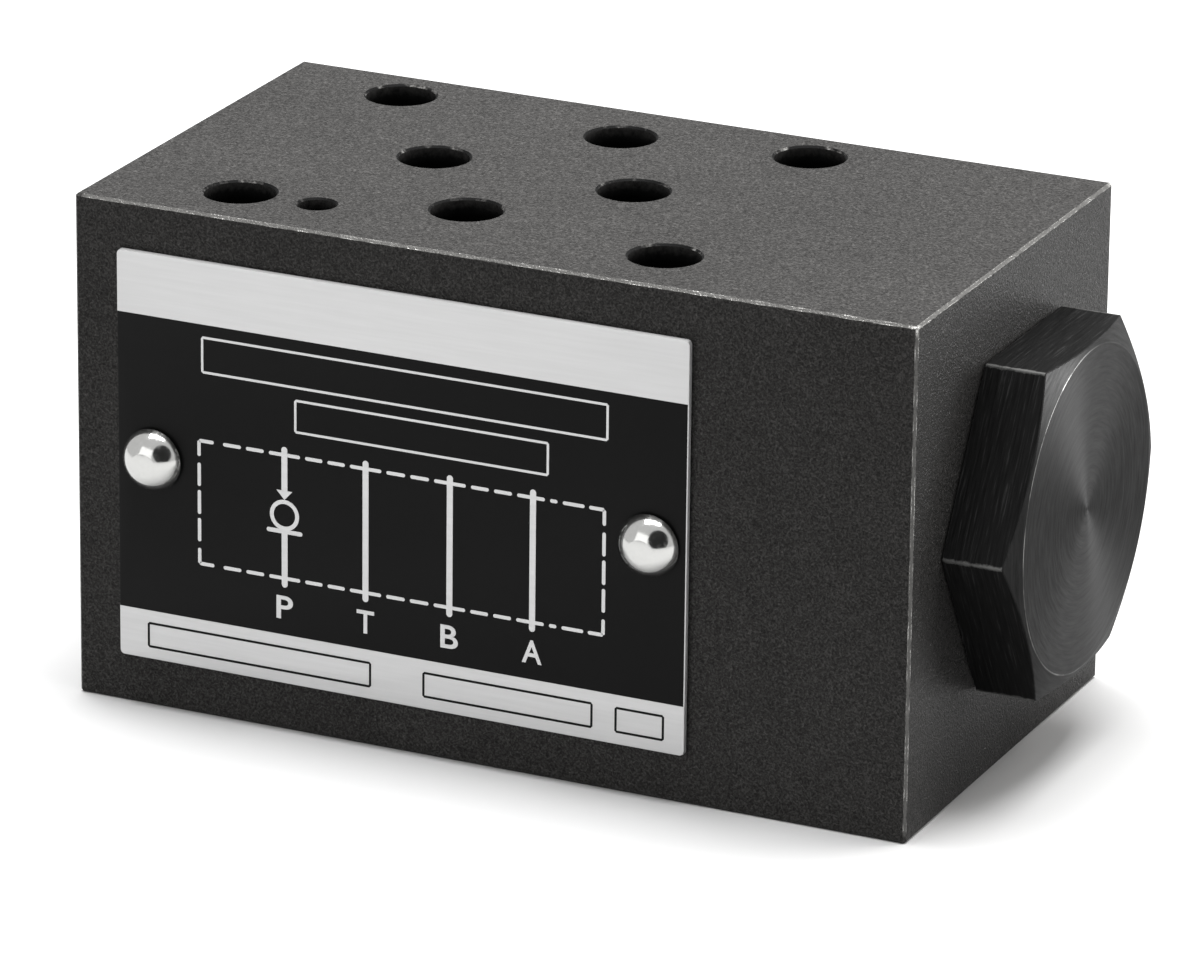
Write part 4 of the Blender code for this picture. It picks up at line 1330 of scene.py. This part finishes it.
class VALVE_OT_stage(bpy.types.Operator):
    """Make the floor, the lamps, the world and the camera"""

    bl_idname = "valve.stage"
    bl_label = "Stage"

    # Name, place, size, power in watts and colour of each lamp, which all face the block. The last one is a
    # reflector, which only adds gloss to the plug's face
    lamps = (
        ("key", (-0.02, 0.15, 1.5), (1.2, 0.8), 34.0, "#ffffff"),
        ("right_back", (0.24, 0.16, 0.24), (0.16, 0.16), 0.27, "#fffdfa"),
        ("front", (-0.25, -0.80, 0.35), (0.7, 0.6), 1.3, "#ffffff"),
        ("reflector", (0.28, 0.20, 0.06), (0.12, 0.1), 2.5, "#ffffff"),
    )
    floor_size = 4.0
    # Where the card's middle is from the camera, along the picture's right, up and back, and its half sizes
    card_place = (0.32, 0.1, 0.0)
    card_size = (0.52, 0.48, 1.0, 1.0)

    def floor(self, sizes):
        deselect()
        bpy.ops.mesh.primitive_plane_add(size=self.floor_size)
        floor = added("floor")
        material = bpy.data.materials.new("matt_white_paper")
        material.use_nodes = True
        tree = material.node_tree
        tree.nodes.clear()
        # White where it is seen, paler grey as a reflection, and greyer in the light that it throws back,
        # so that the valve's sides stay darker than its top
        add = partial(add_node, tree)
        rays = add("LightPath", out=None).outputs
        paper = opaque(sizes.floor_bounce)
        tones = (("Is Glossy Ray", sizes.floor_reflected), ("Is Camera Ray", sizes.floor_colour))
        for ray, colour in tones:
            paper = add("Mix", {0: rays[ray], 6: paper, 7: opaque(colour)}, 2, data_type="RGBA")
        surface = add("BsdfDiffuse", {"Color": paper})
        add("OutputMaterial", {"Surface": surface}, out=None)
        floor.data.materials.append(material)

    def card(self, context, sizes):
        """A dark card behind the camera, seen only in the bright screws."""
        deselect()
        bpy.ops.mesh.primitive_circle_add(vertices=48, radius=1.0, fill_type="NGON")
        card = added("card")
        beside = Matrix.Translation(self.card_place) @ Matrix.Diagonal(self.card_size)
        put(card, context.scene.camera.matrix_world @ beside)
        card.visible_camera = card.visible_diffuse = card.visible_shadow = False
        material, _, surface = new_material("black_card", Roughness=0.9)
        set_inputs(surface, {"Base Color": opaque(sizes.card_colour)})
        card.data.materials.append(material)

    def world(self, sizes):
        world = bpy.data.worlds.new("studio")
        bpy.context.scene.world = world
        world.use_nodes = True
        tree = world.node_tree
        tree.nodes.clear()
        add = partial(add_node, tree)
        rays = add("LightPath", out=None).outputs
        white = add("Math", {0: rays["Is Camera Ray"], 1: rays["Is Glossy Ray"]}, operation="MAXIMUM")
        white = add("Math", {0: white, 1: rays["Is Transmission Ray"]}, operation="MAXIMUM")
        strength = add("MapRange", {"Value": white, 1: 0.0, 2: 1.0, 3: sizes.ambient, 4: 1.0})
        light = add("Background", {"Strength": strength})
        add("OutputWorld", {"Surface": light}, out=None)

    def camera(self, context, sizes):
        azimuth, elevation, roll = sizes.azimuth, sizes.elevation, sizes.roll
        out = math.cos(elevation)
        back = Vector((math.sin(azimuth) * out, -math.cos(azimuth) * out, math.sin(elevation)))
        level = Vector((0.0, 0.0, 1.0)).cross(back).normalized()
        upright = back.cross(level)
        right = level * math.cos(roll) + upright * math.sin(roll)
        up = upright * math.cos(roll) - level * math.sin(roll)
        data = bpy.data.cameras.new("camera")
        data.sensor_width = 36.0
        data.lens = sizes.lens
        data.clip_start = 0.01
        data.clip_end = 20.0
        camera = bpy.data.objects.new("camera", data)
        context.scene.collection.objects.link(camera)
        turn = Matrix((right, up, back)).transposed().to_4x4()
        place = Vector(sizes.target) + back * sizes.distance
        camera.matrix_world = Matrix.Translation(place) @ turn
        context.scene.camera = camera

    def execute(self, context):
        sizes = context.scene.valve_stage
        self.floor(sizes)
        self.world(sizes)
        middle = (BLOCK_LOW + BLOCK_HIGH) / 2
        for name, place, size, power, hex_colour in self.lamps:
            data = bpy.data.lights.new(name, "AREA")
            data.shape = "RECTANGLE"
            data.size, data.size_y = size
            data.energy = power
            data.color = linear(hex_colour)
            lamp = bpy.data.objects.new(name, data)
            context.scene.collection.objects.link(lamp)
            lamp.location = place
            lamp.rotation_euler = (middle - Vector(place)).to_track_quat("-Z", "Y").to_euler()
            lamp.visible_diffuse = name != "reflector"
        self.camera(context, sizes)
        self.card(context, sizes)
        context.scene.view_settings.view_transform = "Standard"
        return {"FINISHED"}


class VALVE_PT_sidebar(bpy.types.Panel):
    """Lists the valve's pieces and their sizes"""

    bl_idname = "VALVE_PT_sidebar"
    bl_label = "Sandwich check valve"
    bl_space_type = "VIEW_3D"
    bl_region_type = "UI"
    bl_category = "Valve"

    def draw(self, context):
        layout = self.layout
        for operator in OPERATORS:
            layout.operator(operator.bl_idname)
        for name, group in GROUPS.items():
            box = layout.box()
            settings = getattr(context.scene, name)
            for prop in group.__annotations__:
                box.prop(settings, prop)


GROUPS = {
    "valve_block": BlockSettings,
    "valve_plug": PlugSettings,
    "valve_plate": PlateSettings,
    "valve_fittings": FittingSettings,
    "valve_stage": StageSettings,
}
OPERATORS = (
    VALVE_OT_stage,
    VALVE_OT_block,
    VALVE_OT_plug,
    VALVE_OT_plate,
    VALVE_OT_symbol,
    VALVE_OT_letters,
    VALVE_OT_fields,
    VALVE_OT_screws,
    VALVE_OT_cartridge,
    VALVE_OT_spring,
    VALVE_OT_seals,
)


def register():
    for group in GROUPS.values():
        bpy.utils.register_class(group)
    for name, group in GROUPS.items():
        setattr(bpy.types.Scene, name, PointerProperty(type=group))
    for operator in OPERATORS:
        bpy.utils.register_class(operator)
    bpy.utils.register_class(VALVE_PT_sidebar)


def unregister():
    bpy.utils.unregister_class(VALVE_PT_sidebar)
    for operator in reversed(OPERATORS):
        bpy.utils.unregister_class(operator)
    for name, group in GROUPS.items():
        delattr(bpy.types.Scene, name)
        bpy.utils.unregister_class(group)


def main():
    register()
    bpy.ops.valve.stage()
    bpy.ops.valve.block()
    bpy.ops.valve.plug()
    bpy.ops.valve.plate()
    bpy.ops.valve.symbol()
    bpy.ops.valve.letters()
    bpy.ops.valve.fields()
    bpy.ops.valve.screws()
    bpy.ops.valve.cartridge()
    bpy.ops.valve.spring()
    bpy.ops.valve.seals()


if __name__ == "__main__":
    main()
